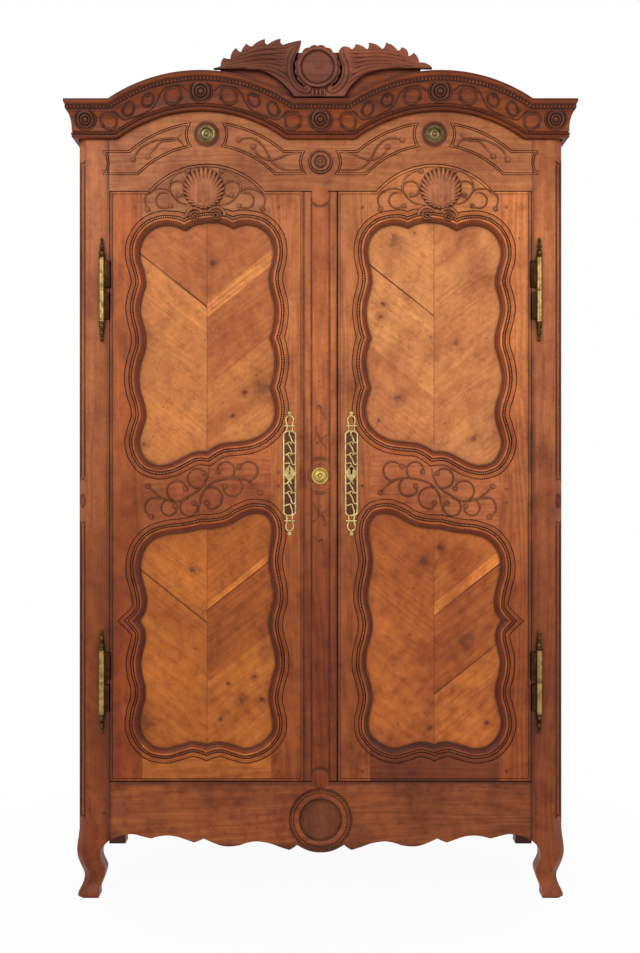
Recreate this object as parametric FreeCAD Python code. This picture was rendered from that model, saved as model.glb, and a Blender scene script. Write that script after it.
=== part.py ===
"""Provincial two-door armoire with a double-arched cornice, a carved crest and fretted lock plates.

Millimetres, +Z up. The origin is on the floor under the middle of the overall box and the doors face -Y.
Left is the -X side, on the left of someone who faces the doors.
"""

import FreeCAD
import Part

import math
import os

Vector = FreeCAD.Vector

# Case
case_width = 1358.0
case_depth = 525.0
case_height = 2215.0
post_width = 88.0
front_post_depth = 66.0
rear_post_depth = 50.0
corner_chamfer = 22.0
corner_panel_width = 26.0
corner_panel_depth = 2.0
corner_panel_margin = 62.0
corner_panel_foot = 100.0
corner_panel_break = 61.0
corner_break_drop = 70.0
leg_height = 190.0
rear_foot_height = 150.0
rear_foot_width = 52.0

# Mortise and tenon work of the case
front_tenon_length = 45.0
front_tenon_thickness = 12.0
front_tenon_setback = 11.0
side_tenon_length = 34.0
side_tenon_thickness = 10.0
rear_tenon_length = 40.0
rear_tenon_thickness = 9.0
tenon_shoulder = 16.0
peg_radius = 5.0
peg_length = 30.0
peg_inset = 15.0
peg_proud = 0.6

# Front rails
sill_height = 325.0
apron_height = 198.0
apron_thickness = 30.0
apron_setback = 1.0
medallion_radius = 84.0
medallion_relief = 6.0
medallion_drop = 106.0
head_rail_height = 235.0
door_arch_rise = 76.0
stop_thickness = 16.0
stop_drop = 12.0
stop_gap = 1.0

# Side frames
side_setback = 2.0
side_rail_thickness = 26.0
side_top_rail_height = 130.0
side_middle_rail_height = 100.0
side_bottom_rail_height = 150.0
side_arch_rise = 34.0
side_panel_tongue = 8.0
side_panel_tongue_thickness = 8.0
side_panel_field_rise = 6.0
side_panel_bevel = 30.0
side_panel_back = 7.0

# Back, floor, shelves and top
rear_rail_thickness = 26.0
rear_rail_setback = 6.0
rear_top_rail_height = 120.0
rear_bottom_rail_height = 80.0
back_board_count = 8
back_board_thickness = 14.0
back_board_gap = 0.6
back_board_groove = 9.0
floor_lip = 10.0
floor_thickness = 22.0
floor_board_count = 3
floor_clearance = 0.5
shelf_count = 3
shelf_thickness = 22.0
shelf_front_setback = 92.0
shelf_clearance = 1.0
cleat_height = 32.0
cleat_thickness = 20.0
cleat_front_setback = 30.0
top_board_thickness = 10.0
top_board_count = 3
board_gap = 0.5

# Cornice
cornice_projection = 35.0
cornice_height = 104.0
cornice_drop = 90.5
cornice_arch_rise = 78.5

# Crest
crest_half_width = 300.0
crest_height = 165.5
crest_back_setback = 2.0
crest_board_thickness = 14.0
crest_wing_thickness = 16.0
crest_disc_level = 86.5
crest_disc_place = -8.0
crest_disc_radius = 56.0
crest_disc_relief = 10.0
crest_disc_rim = 8.5
crest_disc_thickness = 20.0
crest_fringe_radius = 60.0
crest_fringe_thickness = 13.0
crest_scallop_count = 16
crest_scallop_depth = 4.0
crest_tenon_width = 26.0
crest_tenon_thickness = 8.0
crest_tenon_length = 18.0
crest_tenon_place = 40.0

# Doors
door_thickness = 32.0
door_hinge_gap = 1.5
door_meeting_gap = 2.5
door_foot_gap = 3.0
door_head_gap = 2.5
stile_width = 90.0
panel_side_margin = 78.5
bottom_rail_sight = 88.0
middle_rail_sight = 134.0
top_rail_sight = 84.0
panel_recess = 14.0
panel_thickness = 12.0
panel_groove = 8.0
moulding_depth = 9.0
door_tenon_length = 60.0
door_tenon_thickness = 10.0
door_tenon_setback = 15.0
door_top_tenon_height = 58.0
door_top_tenon_drop = 14.0
door_middle_tenon_height = 96.0
door_bottom_tenon_height = 38.0
door_bottom_tenon_rise = 7.0
door_peg_radius = 4.5
door_peg_length = 27.0
door_peg_inset = 21.0

# Meeting strip between the doors, carried by the left one
strip_half_width = 46.0
strip_thickness = 30.0
strip_tongue = 8.0
strip_tongue_thickness = 9.0
strip_panel_width = 50.0
strip_panel_depth = 2.0
strip_panel_margin = 34.0
strip_boss_ring = 42.0
boss_radius = 24.0
boss_relief = 9.0
frieze_boss_drop = 76.0

# Lift-off barrel hinges with vase finials
knuckle_radius = 8.2
knuckle_length = 89.0
knuckle_gap = 0.4
hinge_stand_off = 0.4
hinge_outset = 12.0
hinge_pin_radius = 4.5
hinge_pin_clearance = 0.05
hinge_pin_length = 78.0
hinge_pin_end_gap = 3.0
finial_length = 57.0
leaf_thickness = 3.0
leaf_depth = 26.0
leaf_clearance = 0.4
leaf_end_margin = 6.0
upper_hinge_drop = 275.5
lower_hinge_rise = 278.0

# Lock plates
plate_width = 40.0
plate_height = 354.0
plate_thickness = 2.2
plate_rise = 7.0
plate_inset = 38.0
plate_bar = 5.0
plate_lozenge_height = 54.0
plate_window_count = 3
plate_ring_radius = 14.0
keyhole_rise = 13.0
keyhole_radius = 5.0
keyhole_slot = 5.0
keyhole_length = 16.0

# Lock on the right door
lock_length = 96.0
lock_height = 116.0
lock_depth = 19.0
lock_wall = 2.5
lock_edge_gap = 1.5
lock_bolt_length = 74.0
lock_bolt_height = 16.0
lock_bolt_thickness = 8.0
lock_bolt_clearance = 0.4
lock_bolt_offset = 4.0
keeper_length = 24.0
keeper_height = 60.0
keeper_edge_gap = 2.0
keeper_wall = 10.0

# Sliding bolts on the back of the left door
bolt_radius = 5.0
bolt_length = 250.0
bolt_place = 46.0
bolt_stand_off = 4.0
bolt_rest_gap = 4.0
bolt_clearance = 0.4
bolt_hole_depth = 26.0
bolt_knob_radius = 6.0
bolt_knob_length = 14.0
bolt_knob_place = 200.0
guide_width = 26.0
guide_height = 18.0
guide_first = 44.0
guide_second = 150.0

# Cuts run this far past the face they open
overrun = 6.0

# Ruled faces join their two edges start to start
forward = 1

# Shares of the leg height, then of the post width for the outer face and of each side for the inner one
leg_section_shares = [
    (0.0, 0.0, 0.65), (0.06, -0.017, 0.665), (0.15, 0.07, 0.69), (0.24, 0.135, 0.77), (0.33, 0.135, 0.83),
    (0.41, 0.078, 0.85), (0.50, 0.017, 0.785), (0.60, -0.034, 0.72), (0.70, -0.055, 0.74),
    (0.78, -0.048, 0.83), (0.85, -0.034, 1.0),
]
knee_section_shares = [(0.85, -0.034, 1.0), (0.93, -0.015, 1.0), (1.0, 0.0, 1.0)]

# Lower edge of the apron from the left post to the middle: shares of half the opening and its height
apron_run_shares = [
    [(1.0, 0.170), (0.953, 0.233), (0.92, 0.254), (0.892, 0.259), (0.859, 0.240), (0.826, 0.212),
     (0.802, 0.198)],
    [(0.802, 0.198), (0.769, 0.226), (0.727, 0.239), (0.685, 0.226), (0.647, 0.191), (0.600, 0.141)],
    [(0.600, 0.141), (0.576, 0.165), (0.553, 0.198)],
    [(0.553, 0.198), (0.501, 0.127), (0.464, 0.092), (0.426, 0.085), (0.388, 0.099), (0.351, 0.134),
     (0.308, 0.156), (0.275, 0.148), (0.238, 0.127), (0.200, 0.085), (0.148, 0.035)],
    [(0.148, 0.035), (0.129, 0.066), (0.111, 0.106)],
]
apron_middle_shares = [(0.111, 0.106), (0.082, 0.057), (0.045, 0.014), (0.0, 0.0)]

# Panel outlines of the left door, clockwise from cusp to cusp: shares of panel width and height
upper_panel_shares = [
    [(0.336, 0.966), (0.430, 0.992), (0.515, 1.0), (0.600, 0.997), (0.693, 0.975)],
    [(0.693, 0.975), (0.790, 0.991), (0.880, 0.980), (0.938, 0.956), (0.974, 0.923), (0.986, 0.886),
     (0.977, 0.836), (0.957, 0.791), (0.955, 0.754), (0.969, 0.713), (0.991, 0.667), (0.996, 0.626),
     (0.985, 0.573),
     (0.956, 0.523)],
    [(0.956, 0.523), (0.985, 0.482), (0.999, 0.425), (0.985, 0.365), (0.958, 0.318)],
    [(0.958, 0.318), (0.988, 0.272), (0.999, 0.227), (0.979, 0.174), (0.923, 0.137), (0.828, 0.107),
     (0.719, 0.097),
     (0.624, 0.091), (0.562, 0.078), (0.500, 0.056)],
    [(0.500, 0.056), (0.420, 0.056), (0.332, 0.035), (0.237, 0.008), (0.142, 0.000), (0.069, 0.015),
     (0.023, 0.050),
     (0.004, 0.091), (0.024, 0.145), (0.050, 0.194), (0.042, 0.252), (0.013, 0.305), (0.000, 0.355),
     (0.018, 0.425),
     (0.049, 0.486), (0.049, 0.540), (0.023, 0.602), (0.011, 0.645), (0.027, 0.696), (0.051, 0.746),
     (0.037, 0.801),
     (0.011, 0.853), (0.010, 0.894), (0.040, 0.937), (0.099, 0.971), (0.186, 0.988), (0.245, 0.987),
     (0.336, 0.966)],
]
lower_panel_shares = [
    [(0.460, 0.934), (0.562, 0.937), (0.663, 0.951), (0.757, 0.983), (0.851, 1.000), (0.924, 0.992),
     (0.967, 0.960),
     (0.979, 0.915), (0.963, 0.856), (0.951, 0.801), (0.967, 0.733), (0.987, 0.674), (0.988, 0.632),
     (0.963, 0.573),
     (0.952, 0.526), (0.970, 0.463), (0.996, 0.403), (0.999, 0.348), (0.973, 0.289), (0.951, 0.217),
     (0.966, 0.162),
     (0.983, 0.116), (0.977, 0.077), (0.931, 0.039), (0.859, 0.011), (0.786, 0.000), (0.699, 0.013),
     (0.591, 0.027),
     (0.500, 0.015)],
    [(0.500, 0.015), (0.402, 0.028), (0.301, 0.014), (0.192, 0.000), (0.105, 0.011), (0.041, 0.046),
     (0.007, 0.094),
     (0.017, 0.156), (0.044, 0.209), (0.046, 0.264), (0.022, 0.319), (0.014, 0.369), (0.033, 0.424),
     (0.048, 0.469),
     (0.036, 0.513), (0.000, 0.542)],
    [(0.000, 0.542), (0.040, 0.573), (0.058, 0.623), (0.040, 0.687), (0.014, 0.746), (0.016, 0.801),
     (0.049, 0.852),
     (0.112, 0.889), (0.207, 0.909), (0.337, 0.918), (0.460, 0.934)],
]

# Heights where a rail ends against the stiles: shares of the panel beside it, hinge side then meeting side
top_rail_end_shares = (0.885, 0.885)
middle_rail_upper_end_shares = (0.10, 0.21)
middle_rail_lower_end_shares = (0.772, 0.925)
bottom_rail_end_shares = (0.103, 0.103)
middle_tenon_shares = (0.36, 0.71)

# Section of the panel moulding from its outer line inwards: shares of moulding width and depth
moulding_shares = [
    (1.0, 0.28), (0.955, 0.28), (0.93, 0.12), (0.86, 0.03), (0.78, 0.03), (0.70, 0.15), (0.66, 0.45),
    (0.47, 0.45),
    (0.44, 0.14), (0.36, 0.12), (0.25, 0.35), (0.16, 0.72), (0.11, 0.85), (0.06, 0.74), (0.0, 0.85),
]

# Section of the cornice from its lower edge upwards: shares of projection and height
cornice_shares = [
    (0.0, 0.0), (0.34, 0.0), (0.42, 0.03), (0.42, 0.07), (0.37, 0.085), (0.37, 0.165), (0.42, 0.185),
    (0.42, 0.30), (0.47, 0.44), (0.56, 0.565), (0.67, 0.655), (0.72, 0.685), (0.76, 0.69), (0.76, 0.72),
    (0.88, 0.865), (0.90, 0.875), (0.96, 0.89), (1.0, 0.93), (0.98, 1.0), (0.0, 1.0),
]

# Wings of the crest, tooth by tooth from the outer tip: shares of the crest's half width and height
left_wing_shares = [
    [(0.990, 0.506), (0.943, 0.527), (0.922, 0.542)],
    [(0.922, 0.542), (0.918, 0.613), (0.893, 0.682)],
    [(0.893, 0.682), (0.858, 0.664), (0.832, 0.664)],
    [(0.832, 0.664), (0.819, 0.765), (0.777, 0.849)],
    [(0.777, 0.849), (0.762, 0.803), (0.734, 0.778)],
    [(0.734, 0.778), (0.711, 0.862), (0.683, 0.918)],
    [(0.683, 0.918), (0.660, 0.882), (0.630, 0.874)],
    [(0.630, 0.874), (0.573, 0.956), (0.513, 0.994)],
    [(0.513, 0.994), (0.512, 0.933), (0.490, 0.900)],
    [(0.490, 0.900), (0.435, 0.963), (0.368, 1.001)],
    [(0.368, 1.001), (0.368, 0.933), (0.345, 0.897)],
    [(0.345, 0.897), (0.264, 0.943), (0.178, 0.973)],
    [(0.178, 0.973), (0.195, 0.836), (0.235, 0.702), (0.258, 0.537), (0.247, 0.385), (0.209, 0.258),
     (0.138, 0.171), (0.003, 0.151)],
    [(0.003, 0.151), (0.003, 0.034)],
    [(0.003, 0.034), (0.241, 0.034)],
    [(0.241, 0.034), (0.292, 0.156), (0.363, 0.278), (0.437, 0.377), (0.534, 0.466), (0.651, 0.496),
     (0.836, 0.501), (0.990, 0.506)],
]
right_wing_shares = [
    [(1.033, 0.512), (1.002, 0.565), (0.913, 0.603)],
    [(0.913, 0.603), (0.899, 0.689), (0.859, 0.765)],
    [(0.859, 0.765), (0.838, 0.727), (0.812, 0.709)],
    [(0.812, 0.709), (0.798, 0.811), (0.748, 0.857)],
    [(0.748, 0.857), (0.734, 0.816), (0.714, 0.801)],
    [(0.714, 0.801), (0.667, 0.887), (0.603, 0.933)],
    [(0.603, 0.933), (0.593, 0.867), (0.570, 0.826)],
    [(0.570, 0.826), (0.517, 0.900), (0.446, 0.933)],
    [(0.446, 0.933), (0.446, 0.867), (0.429, 0.821)],
    [(0.429, 0.821), (0.375, 0.887), (0.321, 0.907)],
    [(0.321, 0.907), (0.311, 0.854), (0.289, 0.826)],
    [(0.289, 0.826), (0.254, 0.862), (0.211, 0.872)],
    [(0.211, 0.872), (0.170, 0.796), (0.172, 0.689), (0.201, 0.550), (0.201, 0.423), (0.172, 0.296),
     (0.107, 0.192), (0.003, 0.151)],
    [(0.003, 0.151), (0.003, 0.034)],
    [(0.003, 0.034), (0.218, 0.034)],
    [(0.218, 0.034), (0.264, 0.177), (0.315, 0.283), (0.383, 0.380), (0.475, 0.461), (0.589, 0.501),
     (0.788, 0.512), (1.033, 0.512)],
]
crest_top_shares = [(0.93, 0.525), (0.74, 0.64), (0.45, 0.77), (0.20, 0.80), (0.0, 0.81)]

# Turned outlines: shares of radius and of length from the foot up
finial_shares = [
    (1.0, 0.0), (1.0, 0.05), (0.80, 0.11), (0.72, 0.16), (0.92, 0.30), (0.95, 0.40), (0.72, 0.54),
    (0.38, 0.62),
    (0.40, 0.66), (0.58, 0.74), (0.50, 0.84), (0.22, 0.94), (0.0, 1.0),
]
boss_shares = [
    (1.0, 0.0), (1.0, 0.30), (0.92, 0.45), (0.80, 0.42), (0.72, 0.25), (0.62, 0.40), (0.50, 0.62),
    (0.36, 0.70),
    (0.26, 0.60), (0.22, 0.78), (0.12, 0.95), (0.0, 1.0),
]
medallion_shares = [
    (1.0, 0.0), (0.98, 0.60), (0.93, 0.75), (0.90, 0.35), (0.86, 0.90), (0.79, 1.0), (0.73, 0.60),
    (0.70, 0.25),
    (0.62, 0.25), (0.58, 0.50), (0.0, 0.62),
]

# Shares that place small things
rear_foot_bend_share = 0.55
side_peg_share = 0.5
plate_body_share = 0.68
plate_neck_share = 0.30
plate_cross_share = 0.80
peg_pair_shares = (0.3, 0.7)
window_lean_share = 0.28
boss_share = 0.51773
lower_panel_share = 0.49274
moulding_share = 0.02977
door_arch_share = 0.30129
cornice_arch_place_share = 0.49043
cornice_arch_low_share = 0.34904
cornice_arch_high_share = 0.37702

# Worked out from the sizes above
half_width = case_width / 2
opening_half = half_width - post_width
head_height = case_height - head_rail_height
cornice_level = case_height - cornice_drop
frieze_boss_level = case_height - frieze_boss_drop
medallion_height = sill_height - medallion_drop
cornice_arch_place = cornice_arch_place_share * half_width
cornice_arch_half_low = cornice_arch_low_share * half_width
cornice_arch_half_high = cornice_arch_high_share * half_width
total_depth = case_depth + cornice_projection
front = cornice_projection - total_depth / 2
back = total_depth / 2
side_outer = side_setback - half_width
side_inner = side_outer + side_rail_thickness
post_rear = front + front_post_depth
rear_post_front = back - rear_post_depth
door_back = front + door_thickness
stop_face = door_back + stop_gap
stop_back = stop_face + stop_thickness
floor_top = sill_height + floor_lip
floor_under = floor_top - floor_thickness
apron_bottom = sill_height - apron_height
apron_back = front + apron_setback + apron_thickness
rear_rail_back = back - rear_rail_setback
rear_rail_front = rear_rail_back - rear_rail_thickness
back_board_front = (rear_rail_front + rear_rail_back - back_board_thickness) / 2
door_hinge_edge = door_hinge_gap - opening_half
door_meeting_edge = -(strip_half_width + door_meeting_gap)
door_centre = (door_hinge_edge + door_meeting_edge) / 2
door_bottom = sill_height + door_foot_gap
door_shoulder = head_height - door_head_gap
door_height = door_shoulder - door_bottom
door_arch_half_width = door_arch_share * (door_meeting_edge - door_hinge_edge)
boss_level = door_bottom + boss_share * door_height
plate_level = boss_level + plate_rise
upper_hinge_level = door_shoulder - upper_hinge_drop
lower_hinge_level = door_bottom + lower_hinge_rise
panel_room = door_height - bottom_rail_sight - middle_rail_sight - top_rail_sight
lower_panel_height = lower_panel_share * panel_room
upper_panel_height = panel_room - lower_panel_height
moulding_width = moulding_share * panel_room
panel_low = door_hinge_edge + panel_side_margin
panel_width = door_meeting_edge - panel_side_margin - panel_low
lower_panel_low = door_bottom + bottom_rail_sight
upper_panel_low = lower_panel_low + lower_panel_height + middle_rail_sight
hinge_joint = door_hinge_edge + stile_width
meeting_joint = door_meeting_edge - stile_width
hinge_axis_x = -(opening_half + knuckle_radius + hinge_outset)
hinge_axis_y = front - knuckle_radius - hinge_stand_off
cornice_top = cornice_level + cornice_height
strip_centre = (door_meeting_edge + strip_half_width) / 2
nodes = {}


def mirrored(shape):
    """The same shape on the other side of the cabinet."""
    return shape.mirror(Vector(0, 0, 0), Vector(1, 0, 0))


def box(x_span, y_span, z_span):
    """Block between pairs of coordinates."""
    low = Vector(x_span[0], y_span[0], z_span[0])
    return Part.makeBox(x_span[1] - x_span[0], y_span[1] - y_span[0], z_span[1] - z_span[0], low)


def rod(start, direction, radius, length):
    """Round bar from a point along a direction."""
    return Part.makeCylinder(radius, length, start, direction)


def line(start, end):
    """Straight edge."""
    return Part.LineSegment(start, end).toShape()


def arc(start, through, end):
    """Round edge through three points."""
    return Part.Arc(start, through, end).toShape()


def polygon(points):
    """Closed wire of straight edges."""
    return Part.makePolygon(list(points) + [points[0]])


def prism(edges, y_span):
    """Solid between two depths whose outline is a closed chain of edges in elevation."""
    face = Part.Face(Part.Wire(edges))
    solid = face.extrude(Vector(0, y_span[1] - y_span[0], 0))
    return solid


def turned(radius, length, shares):
    """Turned solid on +Z from a half outline of radius and length shares."""
    points = [Vector(0, 0, 0)] + [Vector(radius * r, 0, length * h) for r, h in shares]
    return Part.Face(polygon(points)).revolve(Vector(0, 0, 0), Vector(0, 0, 1), 360)


def facing_front(shape, x, y, z):
    """A shape turned on +Z, laid so that its axis points out of the front, then placed."""
    shape.rotate(Vector(0, 0, 0), Vector(1, 0, 0), 90)
    shape.translate(Vector(x, y, z))
    return shape


def slopes(points, spans):
    """Direction of a smooth line at each of its points, for given parameter spans between them."""
    count = len(points)
    if count == 2:
        return [(points[1] - points[0]) / spans[0]] * 2
    inner = []
    for i in range(1, count - 1):
        before = (points[i] - points[i - 1]) / spans[i - 1]
        after = (points[i + 1] - points[i]) / spans[i]
        inner.append((before * spans[i] + after * spans[i - 1]) / (spans[i - 1] + spans[i]))
    first = bounced(points[1] - points[0], inner[0])
    last = bounced(points[-1] - points[-2], inner[-1])
    return [first] + inner + [last]


def bounced(chord, slope):
    """Slope at the far end of a chord that would make the piece a round bow."""
    return chord * (2 * chord.dot(slope) / chord.dot(chord)) - slope


def smooth_edge(points, spans):
    """Smooth edge through points."""
    leads = slopes(points, spans)
    poles = [points[0]]
    knots = [0.0]
    for i, span in enumerate(spans):
        poles.append(points[i] + leads[i] * (span / 3))
        poles.append(points[i + 1] - leads[i + 1] * (span / 3))
        knots.append(knots[-1] + span)
    poles.append(points[-1])
    mults = [4] + [2] * (len(spans) - 1) + [4]
    curve = Part.BSplineCurve()
    curve.buildFromPolesMultsKnots(poles, mults, knots, False, 3)
    return curve.toShape()


def chord_spans(points):
    """Distances between neighbouring points."""
    return [(b - a).Length for a, b in zip(points, points[1:])]


def smooth_runs(runs):
    """Edges of a line that is smooth inside each run and may turn sharply between runs."""
    return [smooth_edge(points, chord_spans(points)) for points in runs]


class Outline:
    """Closed line in elevation, made of smooth runs between cusps, that can be widened evenly."""

    def __init__(self, share_runs, low_x, low_z, width, height):
        self.runs = []
        for shares in share_runs:
            self.runs.append([Vector(low_x + u * width, 0, low_z + v * height) for u, v in shares])
        self.spans = [chord_spans(points) for points in self.runs]
        self.normals = []
        for points, spans in zip(self.runs, self.spans):
            leads = slopes(points, spans)
            self.normals.append([Vector(-lead.z, 0, lead.x).normalize() for lead in leads])

    def edges(self, offset, y):
        """Edges at a distance outside the line, at one depth."""
        count = len(self.runs)
        moved = []
        for points, normals in zip(self.runs, self.normals):
            moved.append([p + n * offset for p, n in zip(points, normals)])
        for i in range(count):
            j = (i + 1) % count
            a = self.normals[i][-1]
            b = self.normals[j][0]
            corner = self.runs[j][0] + (a + b) * (offset / (1 + a.dot(b)))
            moved[i][-1] = corner
            moved[j][0] = corner
        shift = Vector(0, y, 0)
        result = []
        for points, spans in zip(moved, self.spans):
            result.append(smooth_edge([p + shift for p in points], spans))
        return result

    def filled(self, offset, y_span):
        """Solid inside the widened line between two depths."""
        return prism(self.edges(offset, y_span[0]), y_span)

    def ring(self, section):
        """Solid ring with a closed section of offset and depth pairs."""
        loops = [self.edges(offset, y) for offset, y in section]
        faces = []
        for inner, outer in zip(loops, loops[1:] + loops[:1]):
            for a, b in zip(inner, outer):
                faces.append(Part.makeRuledSurface(a, b, forward))
        return closed_solid(faces)


def closed_solid(faces):
    """Solid inside a closed set of faces."""
    shell = Part.makeShell(faces)
    shell.sewShape()
    if shell.ShapeType != "Shell":
        shell = shell.Shells[0]
    solid = Part.makeSolid(shell)
    if solid.Volume < 0:
        shell.reverse()
        solid = Part.makeSolid(shell)
    return solid


def head_edges(y, drop, top):
    """Outline of a head board whose lower edge follows the door heads, lowered by a drop."""
    level = head_height - drop
    half = door_arch_half_width
    middle = abs(door_centre)
    spots = [Vector(-opening_half, y, top), Vector(-opening_half, y, level)]
    edges = [line(spots[0], spots[1])]
    at = spots[1]
    for centre in (-middle, middle):
        start = Vector(centre - half, y, level)
        crown = Vector(centre, y, level + door_arch_rise)
        end = Vector(centre + half, y, level)
        edges.append(line(at, start))
        edges.append(arc(start, crown, end))
        at = end
    corner = Vector(opening_half, y, level)
    upper = Vector(opening_half, y, top)
    edges.append(line(at, corner))
    edges.append(line(corner, upper))
    edges.append(line(upper, spots[0]))
    return edges


def leg_section(rise, setback, reach):
    """Five-sided section of the left front leg at a share of its height."""
    z = rise * leg_height
    outer = setback * post_width - half_width
    inner = reach * post_width - half_width
    near = front + setback * post_width
    far = front + reach * front_post_depth
    cut = corner_chamfer * reach
    return polygon([
        Vector(outer + cut, near, z), Vector(inner, near, z), Vector(inner, far, z),
        Vector(outer, far, z), Vector(outer, near + cut, z),
    ])


def front_post():
    """Left front post with its curved leg and the sunk strips on its cut corner."""
    leg = Part.makeLoft([leg_section(*shares) for shares in leg_section_shares], True, False)
    knee = Part.makeLoft([leg_section(*shares) for shares in knee_section_shares], True, True)
    stem = Part.Face(leg_section(1, 0, 1)).extrude(Vector(0, 0, case_height - leg_height))
    post = leg.fuse([knee, stem]).removeSplitter()
    middle = Vector(corner_chamfer / 2 - half_width, front + corner_chamfer / 2, 0)
    bottom = sill_height - corner_panel_foot
    top = cornice_level - corner_panel_margin
    parting = boss_level - corner_break_drop
    spans = [(bottom, parting - corner_panel_break), (parting + corner_panel_break, top)]
    for low, high in spans:
        half = corner_panel_width / 2
        groove = box((-half, half), (-overrun, corner_panel_depth), (low, high))
        groove.rotate(Vector(0, 0, 0), Vector(0, 0, 1), -45)
        groove.translate(middle)
        post = post.cut(groove)
    return post


def rear_post():
    """Left rear post with a bracket-shaped foot."""
    outer = -half_width
    inner = -opening_half
    toe = outer + rear_foot_width
    bend = rear_foot_height * rear_foot_bend_share
    middle = Vector((toe + inner) / 2, rear_post_front, (bend + rear_foot_height) / 2)
    knee = Vector(toe, rear_post_front, bend)
    hip = Vector(inner, rear_post_front, rear_foot_height)
    bow = middle + Vector(knee.x - hip.x, 0, hip.z - knee.z) * (math.sqrt(2) / 2 - 1 / 2)
    spots = [
        Vector(outer, rear_post_front, 0), Vector(toe, rear_post_front, 0),
        Vector(inner, rear_post_front, case_height), Vector(outer, rear_post_front, case_height),
    ]
    edges = [
        line(spots[0], spots[1]), line(spots[1], knee), arc(knee, bow, hip), line(hip, spots[2]),
        line(spots[2], spots[3]), line(spots[3], spots[0]),
    ]
    return prism(edges, (rear_post_front, back))


def apron():
    """Front bottom rail with its scalloped lower edge and the round carved boss at the middle."""
    y = front + apron_setback

    def spot(u, v):
        return Vector(-u * opening_half, y, apron_bottom + v * apron_height)

    left = [[spot(u, v) for u, v in run] for run in apron_run_shares]
    middle = [spot(u, v) for u, v in apron_middle_shares]
    middle += [Vector(-p.x, p.y, p.z) for p in reversed(middle[:-1])]
    right = [[Vector(-p.x, p.y, p.z) for p in reversed(run)] for run in reversed(left)]
    runs = left + [middle] + right
    start = runs[0][0]
    end = runs[-1][-1]
    upper_right = Vector(opening_half, y, sill_height)
    upper_left = Vector(-opening_half, y, sill_height)
    edges = smooth_runs(runs)
    edges += [line(end, upper_right), line(upper_right, upper_left), line(upper_left, start)]
    board = prism(edges, (y, apron_back))
    rose = facing_front(turned(medallion_radius, medallion_relief, medallion_shares), 0, y, medallion_height)
    return board.fuse(rose)


def front_head():
    """Front top rail, with the lip behind it that stops the doors."""
    face = prism(head_edges(front, 0, case_height), (front, stop_face))
    lip = prism(head_edges(stop_face, stop_drop, case_height), (stop_face, stop_back))
    return face.fuse(lip).removeSplitter()


def side_rail(level, height, arch):
    """Rail of the left side between its posts, its lower edge hollowed by an arch."""
    rail = box((side_outer, side_inner), (post_rear, rear_post_front), (level, level + height))
    if arch:
        half = (rear_post_front - post_rear) / 2 - tenon_shoulder
        middle = (post_rear + rear_post_front) / 2
        radius = (half * half + arch * arch) / (2 * arch)
        centre = Vector(side_outer - overrun, middle, level + arch - radius)
        rail = rail.cut(rod(centre, Vector(1, 0, 0), radius, side_rail_thickness + 2 * overrun))
    return rail


def side_tenons(level, height):
    """Tenons at both ends of a left side rail."""
    low = side_outer + (side_rail_thickness - side_tenon_thickness) / 2
    spans = (low, low + side_tenon_thickness)
    rise = (level + tenon_shoulder, level + height - tenon_shoulder)
    return (box(spans, (post_rear - side_tenon_length, post_rear), rise),
            box(spans, (rear_post_front, rear_post_front + side_tenon_length), rise))


def side_panel(low, high):
    """Fielded panel of the left side with its tongue, and the tongue alone."""
    y_span = (post_rear - side_panel_tongue, rear_post_front + side_panel_tongue)
    z_span = (low - side_panel_tongue, high + side_panel_tongue)
    rear = side_inner - side_panel_back
    face = rear - side_panel_tongue_thickness
    tongue = box((face, rear), y_span, z_span)

    def frame(x, inset):
        return polygon([
            Vector(x, post_rear + inset, low + inset), Vector(x, rear_post_front - inset, low + inset),
            Vector(x, rear_post_front - inset, high - inset), Vector(x, post_rear + inset, high - inset),
        ])

    rim = frame(face, side_panel_tongue)
    crown = frame(face - side_panel_field_rise, side_panel_bevel)
    field = Part.makeLoft([rim, crown], True, True)
    return tongue.fuse(field).removeSplitter(), tongue


def frame_peg_front(z, y, length):
    """Left peg through a front joint."""
    return rod(Vector(-(opening_half + peg_inset), y, z), Vector(0, 1, 0), peg_radius, length)


def frame_peg_side(y, z):
    """Left peg through a side joint."""
    start = Vector(-half_width - peg_proud, y, z)
    return rod(start, Vector(1, 0, 0), peg_radius, peg_length + peg_proud)


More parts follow.
